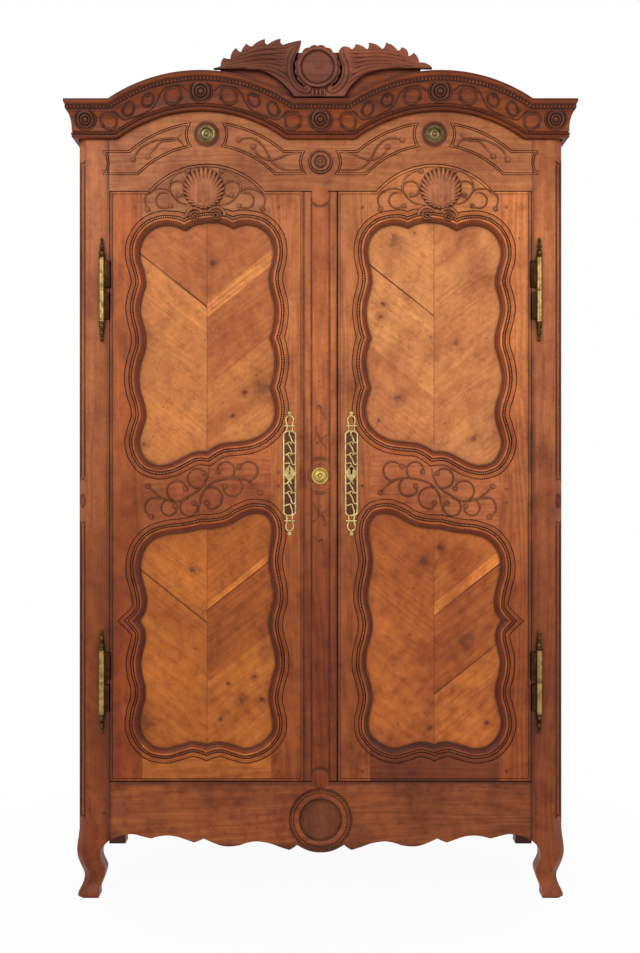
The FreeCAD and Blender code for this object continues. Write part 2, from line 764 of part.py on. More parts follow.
def build_case():
    """Posts, rails, side panels, back and their pegs."""
    post = front_post()
    rear = rear_post()
    head = front_head()
    sill = apron()
    pegs = []

    x_span = (-opening_half - front_tenon_length, -opening_half)
    y_span = (front + front_tenon_setback, front + front_tenon_setback + front_tenon_thickness)
    joints = [
        (head_height + tenon_shoulder, case_height - tenon_shoulder),
        (leg_height + tenon_shoulder, sill_height - tenon_shoulder),
    ]
    front_rails = []
    for rail, z_span in zip((head, sill), joints):
        tenon = box(x_span, y_span, z_span)
        rail = rail.fuse([tenon, mirrored(tenon)])
        post = post.cut(tenon)
        seen = min(z_span[1], cornice_level) - z_span[0]
        for share in peg_pair_shares:
            z = z_span[0] + share * seen
            peg = frame_peg_front(z, front - peg_proud, peg_length + peg_proud)
            pegs.append(peg)
            post = post.cut(peg)
            rail = rail.cut(peg).cut(mirrored(peg))
        front_rails.append(rail)

    rear_span = (-opening_half - rear_tenon_length, -opening_half)
    tenon_front = (rear_rail_front + rear_rail_back - rear_tenon_thickness) / 2
    rear_rails = []
    for level, height in ((case_height - rear_top_rail_height, rear_top_rail_height),
                          (floor_under - rear_bottom_rail_height, rear_bottom_rail_height)):
        rail = box((-opening_half, opening_half), (rear_rail_front, rear_rail_back), (level, level + height))
        z_span = (level + tenon_shoulder, level + height - tenon_shoulder)
        tenon = box(rear_span, (tenon_front, tenon_front + rear_tenon_thickness), z_span)
        rail = rail.fuse([tenon, mirrored(tenon)])
        rear = rear.cut(tenon)
        peg = frame_peg_front((z_span[0] + z_span[1]) / 2, back - peg_length, peg_length)
        pegs.append(peg)
        rear = rear.cut(peg)
        rear_rails.append(rail.cut(peg).cut(mirrored(peg)))

    levels = [
        ("top", case_height - side_top_rail_height, side_top_rail_height, 0),
        ("middle", boss_level - side_middle_rail_height / 2, side_middle_rail_height, 0),
        ("bottom", leg_height, side_bottom_rail_height, side_arch_rise),
    ]
    side_rails = {}
    for name, level, height, arch in levels:
        rail = side_rail(level, height, arch)
        ends = side_tenons(level, height)
        rail = rail.fuse(list(ends))
        post = post.cut(ends[0])
        rear = rear.cut(ends[1])
        z = min(level + side_peg_share * height, cornice_level - 2 * peg_radius)
        for y, is_front in ((post_rear - peg_inset, True), (rear_post_front + peg_inset, False)):
            peg = frame_peg_side(y, z)
            pegs.append(peg)
            rail = rail.cut(peg)
            if is_front:
                post = post.cut(peg)
            else:
                rear = rear.cut(peg)
        side_rails[name] = rail

    lower_span = (levels[2][1] + levels[2][2], levels[1][1])
    upper_span = (levels[1][1] + levels[1][2], levels[0][1])
    panels = []
    for z_span in (lower_span, upper_span):
        panel, tongue = side_panel(*z_span)
        panels.append(panel)
        post = post.cut(tongue)
        rear = rear.cut(tongue)
        for name in side_rails:
            side_rails[name] = side_rails[name].cut(tongue)

    low = floor_under - back_board_groove
    high = case_height - rear_top_rail_height + back_board_groove
    edge = opening_half + back_board_groove
    y_span = (back_board_front, back_board_front + back_board_thickness)
    bed = box((-edge, edge), y_span, (low, high))
    rear = rear.cut(bed)
    rear_rails = [rail.cut(bed) for rail in rear_rails]
    step = 2 * edge / back_board_count
    boards = []
    for i in range(back_board_count):
        start = i * step - edge + (back_board_gap / 2 if i else 0)
        end = (i + 1) * step - edge - (back_board_gap / 2 if i < back_board_count - 1 else 0)
        boards.append(box((start, end), y_span, (low, high)))

    post = post.cut(post_hinge_leaf(upper_hinge_level)).cut(post_hinge_leaf(lower_hinge_level))
    nodes["left_front_post"] = post
    nodes["right_front_post"] = mirrored(post)
    nodes["left_rear_post"] = rear
    nodes["right_rear_post"] = mirrored(rear)
    bolt_hole = rod(Vector(bolt_x(), bolt_y(), head_height - stop_drop - overrun), Vector(0, 0, 1),
                    bolt_radius + bolt_clearance, bolt_hole_depth + overrun)
    nodes["front_top_rail"] = front_rails[0].cut(bolt_hole)
    nodes["front_bottom_rail"] = front_rails[1]
    nodes["rear_top_rail"] = rear_rails[0]
    nodes["rear_bottom_rail"] = rear_rails[1]
    for name, rail in side_rails.items():
        nodes["left_side_" + name + "_rail"] = rail
        nodes["right_side_" + name + "_rail"] = mirrored(rail)
    for name, panel in zip(("lower", "upper"), panels):
        nodes["left_side_" + name + "_panel"] = panel
        nodes["right_side_" + name + "_panel"] = mirrored(panel)
    nodes["back_boards"] = Part.makeCompound(boards)
    nodes["frame_pegs"] = Part.makeCompound(pegs + [mirrored(peg) for peg in pegs])
    bosses = []
    for x in (door_centre, -door_centre):
        boss = turned(boss_radius, boss_relief, boss_shares)
        bosses.append(facing_front(boss, x, front, frieze_boss_level))
    nodes["frieze_bosses"] = Part.makeCompound(bosses)


def boards_along(count, x_span, y_span, z_span, cutters):
    """Boards side by side from front to back, with shapes cut out of them."""
    step = (y_span[1] - y_span[0]) / count
    result = []
    for i in range(count):
        start = y_span[0] + i * step + (board_gap / 2 if i else 0)
        end = y_span[0] + (i + 1) * step - (board_gap / 2 if i < count - 1 else 0)
        board = box(x_span, (start, end), z_span)
        for cutter in cutters:
            board = board.cut(cutter)
        result.append(board)
    return Part.makeCompound(result)


def build_inside():
    """Floor, shelves, cleats and the boards on top."""
    grown = floor_clearance
    z_span = (floor_under, floor_top)
    reach = (0, floor_top + overrun)
    near = box((-half_width, grown - opening_half), (front, post_rear + grown), reach)
    far = box((-half_width, grown - opening_half), (rear_post_front - grown, back), reach)
    hole_radius = bolt_radius + bolt_clearance
    hole = rod(Vector(bolt_x(), bolt_y(), 0), Vector(0, 0, 1), hole_radius, floor_top + overrun)
    cutters = [near, mirrored(near), far, mirrored(far), hole]
    edge = -side_inner - floor_clearance
    inner_back = back_board_front - floor_clearance
    y_span = (stop_face, inner_back)
    nodes["floor_boards"] = boards_along(floor_board_count, (-edge, edge), y_span, z_span, cutters)

    cleats = []
    x_span = (-opening_half, cleat_thickness - opening_half)
    y_span = (front + cleat_front_setback, inner_back)
    pitch = (cornice_level - floor_top) / (shelf_count + 1)
    shelves = []
    for i in range(shelf_count):
        level = floor_top + (i + 1) * pitch
        edge = opening_half - shelf_clearance
        shelf_span = (front + shelf_front_setback, inner_back)
        shelves.append(box((-edge, edge), shelf_span, (level, level + shelf_thickness)))
        cleat = box(x_span, (front + shelf_front_setback - cleat_front_setback, inner_back),
                    (level - cleat_height, level))
        cleats += [cleat, mirrored(cleat)]
    z_span = (floor_under - cleat_height, floor_under)
    cleats.append(box((-opening_half, opening_half), (apron_back, apron_back + cleat_thickness), z_span))
    low_cleat = box((side_inner, side_inner + cleat_thickness), (post_rear, rear_post_front), z_span)
    cleats += [low_cleat, mirrored(low_cleat)]
    nodes["shelves"] = Part.makeCompound(shelves)
    nodes["shelf_cleats"] = Part.makeCompound(cleats)
    nodes["top_boards"] = boards_along(top_board_count, (-half_width, half_width), (front, back),
                                       (case_height, case_height + top_board_thickness), [])


def cornice_edges(projection, height):
    """Front line of the cornice at one projection and height share, from left to right."""
    y = front - projection * cornice_projection
    z = cornice_level + height * cornice_height
    half = cornice_arch_half_low + height * (cornice_arch_half_high - cornice_arch_half_low)
    reach = half_width + projection * cornice_projection
    edges = []
    at = Vector(-reach, y, z)
    for centre in (-cornice_arch_place, cornice_arch_place):
        start = Vector(centre - half, y, z)
        end = Vector(centre + half, y, z)
        edges.append(line(at, start))
        edges.append(arc(start, Vector(centre, y, z + cornice_arch_rise), end))
        at = end
    edges.append(line(at, Vector(reach, y, z)))
    return edges


def cornice_end(y_of):
    """Left end section of the cornice, with the depth of each point given by its projection share."""
    spots = []
    for p, h in cornice_shares:
        reach = half_width + p * cornice_projection
        spots.append(Vector(-reach, y_of(p), cornice_level + h * cornice_height))
    return polygon(spots)


def build_cornice():
    """Arched front of the cornice, its two returns and the crest on top."""
    lines = [cornice_edges(p, h) for p, h in cornice_shares]
    faces = []
    for low, high in zip(lines, lines[1:] + lines[:1]):
        for a, b in zip(low, high):
            faces.append(Part.makeRuledSurface(a, b, forward))
    end = Part.Face(cornice_end(lambda p: front - p * cornice_projection))
    arched = closed_solid(faces + [end, mirrored(end)])

    tenon = box((crest_tenon_place - crest_tenon_width / 2, crest_tenon_place + crest_tenon_width / 2),
                (crest_middle() - crest_tenon_thickness / 2, crest_middle() + crest_tenon_thickness / 2),
                (cornice_top - crest_tenon_length, cornice_top))
    tenons = [tenon, mirrored(tenon)]
    nodes["cornice_front"] = arched.cut(tenons)

    near = cornice_end(lambda p: front - p * cornice_projection)
    far = cornice_end(lambda p: back)
    side = Part.makeLoft([near, far], True, True)
    nodes["cornice_returns"] = Part.makeCompound([side, mirrored(side)])
    build_crest(tenons)


def crest_front():
    """Depth of the front of the crest's board."""
    return front - crest_back_setback - crest_board_thickness


def crest_middle():
    """Depth of the middle of the crest's board."""
    return front - crest_back_setback - crest_board_thickness / 2


def arch_height(x):
    """Height of the top of the cornice at a place on the left arch."""
    half = cornice_arch_half_high
    radius = (half * half + cornice_arch_rise * cornice_arch_rise) / (2 * cornice_arch_rise)
    away = x + cornice_arch_place
    return cornice_top + cornice_arch_rise - radius + math.sqrt(radius * radius - away * away)


def build_crest(tenons):
    """Backing board that stands in the dip of the cornice, two toothed wings and the round middle."""
    near = crest_front()
    far = front - crest_back_setback

    def spot(u, v):
        return Vector(-u * crest_half_width, near, cornice_top + v * crest_height)

    top = [spot(u, v) for u, v in crest_top_shares]
    foot_x = top[0].x
    foot = Vector(foot_x, near, arch_height(foot_x))
    dip = Vector(cornice_arch_half_high - cornice_arch_place, near, cornice_top)
    bow_x = (foot_x + dip.x) / 2
    bow = Vector(bow_x, near, arch_height(bow_x))

    def flip(p):
        return Vector(-p.x, p.y, p.z)

    crown = top + [flip(p) for p in reversed(top[:-1])]
    edges = [
        line(foot, crown[0]), smooth_edge(crown, chord_spans(crown)), line(crown[-1], flip(foot)),
        arc(flip(foot), flip(bow), flip(dip)), line(flip(dip), dip), arc(dip, bow, foot),
    ]
    board = prism(edges, (near, far))
    nodes["crest_board"] = board.fuse(tenons)

    def wing(shares):
        runs = [[spot(u, v) for u, v in run] for run in shares]
        return prism(smooth_runs(runs), (near, near - crest_wing_thickness))

    disc = crest_disc()
    nodes["crest_left_wing"] = wing(left_wing_shares).cut(disc)
    nodes["crest_right_wing"] = mirrored(wing(right_wing_shares)).cut(disc)
    nodes["crest_medallion"] = disc


def crest_disc():
    """Round middle of the crest: a scalloped fringe, a raised disc in front of it and a bowl in its face."""
    near = crest_front()
    level = cornice_top + crest_disc_level
    turn = 2 * math.pi / crest_scallop_count

    def at(radius, angle):
        return Vector(crest_disc_place + radius * math.sin(angle), near, level + radius * math.cos(angle))

    edges = []
    for i in range(crest_scallop_count):
        outer = crest_fringe_radius + crest_scallop_depth
        edges.append(arc(at(crest_fringe_radius, i * turn), at(outer, (i + 1 / 2) * turn),
                         at(crest_fringe_radius, (i + 1) * turn)))
    fringe = prism(edges, (near, near - crest_fringe_thickness))
    forward = Vector(0, -1, 0)
    disc = rod(at(0, 0), forward, crest_disc_radius, crest_disc_thickness)
    face = Vector(crest_disc_place, near - crest_disc_thickness + crest_disc_relief / 2, level)
    bowl = rod(face, forward, crest_disc_radius - crest_disc_rim, overrun)
    return fringe.fuse(disc).cut(bowl)


def door_outline(drop):
    """Outline of the left door at the front plane."""
    level = door_shoulder - drop
    half = door_arch_half_width
    spots = [
        Vector(door_hinge_edge, front, door_bottom), Vector(door_hinge_edge, front, level),
        Vector(door_centre - half, front, level), Vector(door_centre + half, front, level),
        Vector(door_meeting_edge, front, level), Vector(door_meeting_edge, front, door_bottom),
    ]
    crown = Vector(door_centre, front, level + door_arch_rise)
    return [
        line(spots[0], spots[1]), line(spots[1], spots[2]), arc(spots[2], crown, spots[3]),
        line(spots[3], spots[4]), line(spots[4], spots[5]), line(spots[5], spots[0]),
    ]


def panel_outlines():
    """Upper and lower panel outlines of the left door."""
    upper = Outline(upper_panel_shares, panel_low, upper_panel_low, panel_width, upper_panel_height)
    lower = Outline(lower_panel_shares, panel_low, lower_panel_low, panel_width, lower_panel_height)
    return upper, lower


def moulded_frame(outlines):
    """Whole frame of the left door, before it is parted into stiles and rails."""
    recess = front + panel_recess
    behind = recess + panel_thickness
    edges = door_outline(0)
    layers = []
    for y_span, widen in (((front, recess), 0), ((recess, behind), panel_groove), ((behind, door_back), 0)):
        layer = prism(edges, (0, y_span[1] - y_span[0]))
        layer.translate(Vector(0, y_span[0] - front, 0))
        for outline in outlines:
            layer = layer.cut(outline.filled(widen, (y_span[0] - overrun, y_span[1] + overrun)))
        layers.append(layer)
    section = [(-overrun, front - overrun), (moulding_width, front - overrun)]
    section += [(moulding_width * w, front + moulding_depth * d) for w, d in moulding_shares]
    section.append((-overrun, front + moulding_depth * moulding_shares[-1][1]))
    for outline in outlines:
        layers[0] = layers[0].cut(outline.ring(section))
    return layers[0].fuse(layers[1:]).removeSplitter()


def rail_zone(low_ends, high_ends):
    """Room of one rail between the stiles, with its own lower and upper ends on each half."""
    y_span = (front - overrun, door_back + overrun)
    first = box((hinge_joint, door_centre), y_span, (low_ends[0], high_ends[0]))
    second = box((door_centre, meeting_joint), y_span, (low_ends[1], high_ends[1]))
    return first.fuse(second)


def levels_of(shares, low, height):
    """Heights from shares of a panel."""
    return [low + share * height for share in shares]


def biggest(shape):
    """The largest solid of a shape."""
    return max(shape.Solids, key=lambda solid: solid.Volume)


def build_door_frame():
    """Stiles, rails, panels and pegs of the left door."""
    outlines = panel_outlines()
    frame = moulded_frame(outlines)
    upper = (upper_panel_low, upper_panel_height)
    lower = (lower_panel_low, lower_panel_height)
    beyond = [door_shoulder + door_arch_rise + overrun] * 2
    beneath = [door_bottom - overrun] * 2
    zones = {
        "top": rail_zone(levels_of(top_rail_end_shares, *upper), beyond),
        "middle": rail_zone(levels_of(middle_rail_lower_end_shares, *lower),
                            levels_of(middle_rail_upper_end_shares, *upper)),
        "bottom": rail_zone(beneath, levels_of(bottom_rail_end_shares, *lower)),
    }
    rails = {name: biggest(frame.common(zone)) for name, zone in zones.items()}
    rest = frame.cut(list(zones.values()))
    stiles = sorted(rest.Solids, key=lambda solid: solid.Volume)[-2:]
    stiles.sort(key=lambda solid: solid.CenterOfMass.x)

    y_span = (front + door_tenon_setback, front + door_tenon_setback + door_tenon_thickness)
    top_low = door_shoulder - door_top_tenon_drop - door_top_tenon_height
    bottom_low = door_bottom + door_bottom_tenon_rise
    middle_low = lower_panel_low + lower_panel_height - door_middle_tenon_height / 2
    tenon_spans = {
        "top": [(top_low, door_top_tenon_height)] * 2,
        "middle": [(middle_low + share * middle_rail_sight, door_middle_tenon_height)
                   for share in middle_tenon_shares],
        "bottom": [(bottom_low, door_bottom_tenon_height)] * 2,
    }
    pegs = []
    for name, spans in tenon_spans.items():
        for i, (low, height) in enumerate(spans):
            joint = (hinge_joint, meeting_joint)[i]
            way = (-1, 1)[i]
            ends = sorted((joint, joint + way * door_tenon_length))
            tenon = box(ends, y_span, (low, low + height))
            rails[name] = rails[name].fuse(tenon)
            stiles[i] = stiles[i].cut(tenon)
            shares = peg_pair_shares if name == "middle" else (side_peg_share,)
            for share in shares:
                start = Vector(joint + way * door_peg_inset, front - peg_proud, low + share * height)
                peg = rod(start, Vector(0, 1, 0), door_peg_radius, door_peg_length + peg_proud)
                pegs.append(peg)
                rails[name] = rails[name].cut(peg)
                stiles[i] = stiles[i].cut(peg)

    for level in (upper_hinge_level, lower_hinge_level):
        stiles[0] = stiles[0].cut(door_hinge_leaf(level))

    recess = front + panel_recess
    for name, outline in zip(("upper", "lower"), outlines):
        whole = outline.filled(panel_groove, (recess, recess + panel_thickness))
        z_span = (door_bottom, door_shoulder)
        near = box((door_hinge_edge, door_centre), (recess - overrun, door_back), z_span)
        far = box((door_centre, door_meeting_edge), (recess - overrun, door_back), z_span)
        panel = Part.makeCompound([biggest(whole.common(near)), biggest(whole.common(far))])
        nodes["left_door_" + name + "_panel"] = panel
        nodes["right_door_" + name + "_panel"] = mirrored(panel)
    for name, rail in rails.items():
        nodes["left_door_" + name + "_rail"] = rail
        nodes["right_door_" + name + "_rail"] = mirrored(rail)
    nodes["left_door_hinge_stile"] = stiles[0]
    nodes["right_door_hinge_stile"] = mirrored(stiles[0])
    nodes["left_door_pegs"] = Part.makeCompound(pegs)
    nodes["right_door_pegs"] = Part.makeCompound([mirrored(peg) for peg in pegs])
    tongue = strip_tongue_block()
    nodes["left_door_meeting_stile"] = stiles[1].cut(tongue)
    nodes["right_door_meeting_stile"] = mirrored(stiles[1].cut(keyhole(plate_x(), front, door_back)))


def strip_tongue_block():
    """Tongue of the meeting strip inside the edge of the left door."""
    middle = front + strip_thickness / 2
    y_span = (middle - strip_tongue_thickness / 2, middle + strip_tongue_thickness / 2)
    return box((door_meeting_edge - strip_tongue, door_meeting_edge), y_span,
               (door_bottom + tenon_shoulder, door_shoulder - tenon_shoulder))


def build_strip():
    """Strip that covers the meeting of the doors, with two sunk panels and a round boss."""
    y_span = (front, front + strip_thickness)
    strip = box((door_meeting_edge, strip_half_width), y_span, (door_bottom, door_shoulder))
    half = strip_panel_width / 2
    low = door_bottom + strip_panel_margin + half
    high = door_shoulder - strip_panel_margin - half
    y_span = (front - overrun, front + strip_panel_depth)
    depth = y_span[1] - y_span[0]
    x_span = (strip_centre - half, strip_centre + half)
    ring = rod(Vector(strip_centre, y_span[0] - overrun, boss_level), Vector(0, 1, 0), strip_boss_ring,
               depth + 2 * overrun)
    for span, end in (((low, boss_level), low), ((boss_level, high), high)):
        field = box(x_span, y_span, span)
        cap = rod(Vector(strip_centre, y_span[0], end), Vector(0, 1, 0), half, depth)
        strip = strip.cut(field.fuse(cap).cut(ring))
    nodes["meeting_strip"] = strip.fuse(strip_tongue_block())
    boss = turned(boss_radius, boss_relief, boss_shares)
    nodes["meeting_strip_boss"] = facing_front(boss, strip_centre, front, boss_level)


def door_hinge_leaf(level):
    """Leaf of the upper half of a left hinge, let into the edge of the door."""
    x = leaf_clearance - opening_half
    z_span = (level + leaf_end_margin, level + knuckle_length - leaf_end_margin)
    return box((x, x + leaf_thickness), (hinge_axis_y, front + leaf_depth), z_span)


def post_hinge_leaf(level):
    """Leaf of the lower half of a left hinge, let into the side of the post."""
    z_span = (level - knuckle_length + leaf_end_margin, level - leaf_end_margin)
    return box((-opening_half - leaf_thickness, -opening_half), (hinge_axis_y, front + leaf_depth), z_span)


def hinge_halves(level):
    """Lower and upper half of a left hinge whose knuckles part at a level."""
    up = Vector(0, 0, 1)
    axis = Vector(hinge_axis_x, hinge_axis_y, 0)
    vase = turned(knuckle_radius, finial_length, finial_shares)
    lower_vase = vase.copy()
    lower_vase.rotate(Vector(0, 0, 0), Vector(1, 0, 0), 180)
    lower_vase.translate(axis + up * (level - knuckle_length))
    vase.translate(axis + up * (level + knuckle_length))

    lower = rod(axis + up * (level - knuckle_length), up, knuckle_radius, knuckle_length - knuckle_gap)
    pin = rod(axis + up * (level - hinge_pin_length), up, hinge_pin_radius, 2 * hinge_pin_length)
    z_span = (level - knuckle_length + leaf_end_margin, level - leaf_end_margin)
    neck = box((hinge_axis_x, -opening_half), (hinge_axis_y, front - hinge_stand_off), z_span)
    lower = lower.fuse([pin, lower_vase, neck, post_hinge_leaf(level)]).removeSplitter()

    upper = rod(axis + up * level, up, knuckle_radius, knuckle_length)
    z_span = (level + leaf_end_margin, level + knuckle_length - leaf_end_margin)
    neck = box((hinge_axis_x, leaf_clearance + leaf_thickness - opening_half),
               (hinge_axis_y, front - hinge_stand_off), z_span)
    upper = upper.fuse([vase, neck, door_hinge_leaf(level)])
    bore = rod(axis + up * (level - overrun), up, hinge_pin_radius + hinge_pin_clearance,
               hinge_pin_length + hinge_pin_end_gap + overrun)
    return lower, upper.cut(bore).removeSplitter()


def build_hinges():
    """Two hinges on each door, each a lower half on the post and an upper half on the door."""
    halves = [hinge_halves(level) for level in (lower_hinge_level, upper_hinge_level)]
    lower = [pair[0] for pair in halves]
    upper = [pair[1] for pair in halves]
    nodes["post_hinge_halves"] = Part.makeCompound(lower + [mirrored(half) for half in lower])
    nodes["left_door_hinge_halves"] = Part.makeCompound(upper)
    nodes["right_door_hinge_halves"] = Part.makeCompound([mirrored(half) for half in upper])


def plate_x():
    """Middle of the left lock plate."""
    return door_meeting_edge - plate_inset


def keyhole(x, near, far):
    """Keyhole that runs between two depths."""
    level = plate_level + keyhole_rise
    start = Vector(x, near - overrun, level)
    round_part = rod(start, Vector(0, 1, 0), keyhole_radius, far - near + 2 * overrun)
    slot = box((x - keyhole_slot / 2, x + keyhole_slot / 2), (near - overrun, far + overrun),
               (level - keyhole_length, level))
    return round_part.fuse(slot)


def lock_plate():
    """Fretted plate with leaning bars, a lozenge at the middle and a ring at each end."""
    x = plate_x()
    y_span = (front - plate_thickness, front)
    half = plate_width / 2
    body = plate_height * plate_body_share / 2
    end = plate_height / 2
    plate = box((x - half, x + half), y_span, (plate_level - body, plate_level + body))
    inner = half - plate_bar
    lean = window_lean_share * plate_width
    room = body - plate_bar - plate_lozenge_height / 2
    pitch = (room - lean) / plate_window_count
    cut_span = (y_span[0] - overrun, y_span[1] + overrun)
    for way in (-1, 1):
        for i in range(plate_window_count):
            low = plate_lozenge_height / 2 + i * pitch
            high = low + pitch - plate_bar
            spots = []
            for u, v in ((-inner, low), (inner, low + lean), (inner, high + lean), (-inner, high)):
                spots.append(Vector(x + u, cut_span[0], plate_level + way * v))
            plate = plate.cut(prism(polygon(spots).Edges, cut_span))
        tip = end - plate_ring_radius
        collar = body + (tip - body) * plate_neck_share
        neck = box((x - plate_bar / 2, x + plate_bar / 2), y_span,
                   sorted((plate_level + way * (body - plate_bar), plate_level + way * tip)))
        arm = half * plate_cross_share
        level = plate_level + way * collar
        cross = box((x - arm, x + arm), y_span, (level - plate_bar / 2, level + plate_bar / 2))
        centre = Vector(x, y_span[0], plate_level + way * tip)
        ring = rod(centre, Vector(0, 1, 0), plate_ring_radius, plate_thickness)
        hole = rod(centre - Vector(0, overrun, 0), Vector(0, 1, 0), plate_ring_radius - plate_bar,
                   plate_thickness + 2 * overrun)
        plate = plate.fuse([neck, cross, ring]).cut(hole)
    return plate.removeSplitter()


def build_lock():
    """Lock plates on both doors, the lock and its bolt on the right door and the keeper on the left one."""
    plate = lock_plate()
    nodes["left_door_lock_plate"] = plate
    nodes["right_door_lock_plate"] = mirrored(plate.cut(keyhole(plate_x(), front - plate_thickness, front)))

    near = lock_edge_gap - door_meeting_edge
    x_span = (near, near + lock_length)
    z_span = (plate_level - lock_height / 2, plate_level + lock_height / 2)
    case = box(x_span, (door_back, door_back + lock_depth), z_span)
    room_y_span = (door_back - overrun, door_back + lock_depth - lock_wall)
    room = box((x_span[0] + lock_wall, x_span[1] - lock_wall), room_y_span,
               (z_span[0] + lock_wall, z_span[1] - lock_wall))
    bolt_front = door_back + lock_bolt_offset
    bolt_y_span = (bolt_front, bolt_front + lock_bolt_thickness)
    bolt_z_span = (plate_level - lock_bolt_height / 2, plate_level + lock_bolt_height / 2)
    ease = lock_bolt_clearance

    def eased(x_pair):
        return box(x_pair, (bolt_y_span[0] - ease, bolt_y_span[1] + ease),
                   (bolt_z_span[0] - ease, bolt_z_span[1] + ease))

    nodes["lock_case"] = case.cut(room).cut(eased((near - overrun, near + lock_wall + overrun)))
    nodes["lock_bolt"] = box((near, near + lock_bolt_length), bolt_y_span, bolt_z_span)

    edge = strip_half_width - keeper_edge_gap
    strip_back = front + strip_thickness
    keeper = box((edge - keeper_length, edge), (strip_back, door_back + lock_depth),
                 (plate_level - keeper_height / 2, plate_level + keeper_height / 2))
    nodes["lock_keeper"] = keeper.cut(eased((edge - keeper_length + keeper_wall, edge + overrun)))


def bolt_x():
    """Place of the sliding bolts across the left door."""
    return door_meeting_edge - bolt_place


def bolt_y():
    """Depth of the sliding bolts behind the left door."""
    return door_back + bolt_stand_off + bolt_radius


def build_bolts():
    """Sliding bolts at the top and foot of the left door, with the guides that hold them."""
    guides = []
    levels = {"top": (head_height - stop_drop - bolt_rest_gap, -1), "bottom": (floor_top + bolt_rest_gap, 1)}
    for name, (tip, way) in levels.items():
        start = Vector(bolt_x(), bolt_y(), min(tip, tip + way * bolt_length))
        bolt = rod(start, Vector(0, 0, 1), bolt_radius, bolt_length)
        grip = Vector(bolt_x(), bolt_y(), tip + way * bolt_knob_place)
        knob = rod(grip, Vector(0, 1, 0), bolt_knob_radius, bolt_radius + bolt_knob_length)
        nodes["left_door_" + name + "_bolt"] = bolt.fuse(knob)
        for place in (guide_first, guide_second):
            middle = tip + way * place
            guide = box((bolt_x() - guide_width / 2, bolt_x() + guide_width / 2),
                        (door_back, bolt_y() + bolt_radius + bolt_stand_off),
                        (middle - guide_height / 2, middle + guide_height / 2))
            bore = rod(Vector(bolt_x(), bolt_y(), middle - guide_height), Vector(0, 0, 1),
                       bolt_radius + bolt_clearance, 2 * guide_height)
            guides.append(guide.cut(bore))
    nodes["left_door_bolt_guides"] = Part.makeCompound(guides)


build_case()
build_inside()
build_cornice()
build_door_frame()
build_strip()
build_hinges()
build_lock()
build_bolts()

os.makedirs("parts", exist_ok=True)
for name, shape in nodes.items():
    shape.exportStep("parts/" + name + ".step")
print(len(nodes), "nodes")
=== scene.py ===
"""Looks of a provincial two-door armoire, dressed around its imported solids.

Metres, +Z up. The doors face -Y and the left side is -X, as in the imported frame.
"""

import bmesh
import bpy
import logging
import math
from collections.abc import Callable, Iterable, Iterator, Sequence
from contextlib import contextmanager
from dataclasses import dataclass, field, replace
from enum import Enum
from functools import cache

from mathutils import Matrix, Vector


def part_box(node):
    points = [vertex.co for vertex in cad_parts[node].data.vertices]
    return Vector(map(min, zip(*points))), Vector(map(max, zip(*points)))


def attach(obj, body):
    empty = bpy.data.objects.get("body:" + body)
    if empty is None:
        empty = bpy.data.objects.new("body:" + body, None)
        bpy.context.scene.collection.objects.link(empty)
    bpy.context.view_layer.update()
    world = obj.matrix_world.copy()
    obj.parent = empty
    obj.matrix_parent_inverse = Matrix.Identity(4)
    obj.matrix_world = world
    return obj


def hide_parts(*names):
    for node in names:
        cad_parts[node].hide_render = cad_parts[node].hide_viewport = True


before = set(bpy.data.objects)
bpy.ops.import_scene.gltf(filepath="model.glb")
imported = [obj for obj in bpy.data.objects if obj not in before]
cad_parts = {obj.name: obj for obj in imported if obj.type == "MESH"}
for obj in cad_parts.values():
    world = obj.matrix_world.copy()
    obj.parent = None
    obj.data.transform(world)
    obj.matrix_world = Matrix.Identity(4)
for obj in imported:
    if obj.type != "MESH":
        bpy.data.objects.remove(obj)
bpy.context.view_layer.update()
log = logging.getLogger("armoire")

Spot = tuple[float, float]
Line = tuple[Spot, ...]
Triple = tuple[float, float, float]
Colour = Triple
Piece, Node, Outputs = bpy.types.Object, bpy.types.Node, bpy.types.NodeOutputs
Socket, Tree = bpy.types.NodeSocket, bpy.types.NodeTree
Value = Socket | float | Sequence[float]
MM = 0.001
FACE_ON = (math.pi / 2, 0.0, 0.0)
WHITE = (1.0, 1.0, 1.0)


class Body(Enum):
    """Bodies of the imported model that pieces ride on."""

    CASE = "case"
    LEFT_DOOR = "left_door"
    RIGHT_DOOR = "right_door"


class Slot(Enum):
    """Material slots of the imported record."""

    FRAME = "frame_wood"
    PANEL = "panel_wood"
    CORNICE = "cornice_wood"
    CREST = "crest_wood"
    INNER = "inner_wood"
    PEG = "peg_wood"
    BRASS = "brass"
    IRON = "iron"


class Side(Enum):
    """The two halves of the armoire."""

    LEFT = -1
    RIGHT = 1

    @property
    def word(self) -> str:
        """Name of the side in names of pieces."""
        return self.name.lower()

    @property
    def door(self) -> Body:
        """Body of the door on this side."""
        return Body.LEFT_DOOR if self is Side.LEFT else Body.RIGHT_DOOR


class Grain(Enum):
    """Turn that lays the grain of a board along one axis."""

    UPRIGHT = (0.0, 0.0, 0.0)
    LEVEL = (0.0, math.pi / 2, 0.0)
    DEEP = FACE_ON


# Node trees


def rgb(red: int, green: int, blue: int) -> Colour:
    """Linear colour from the 0 to 255 values that a screen shows."""
    return tuple(v / 3294.6 if v <= 10 else ((v / 255 + 0.055) / 1.055) ** 2.4 for v in (red, green, blue))


def shade(colour: Colour, strength: float = 1.0) -> tuple[float, float, float, float]:
    """Colour socket value, made lighter or darker by a strength."""
    return (*(c * strength for c in colour), 1.0)


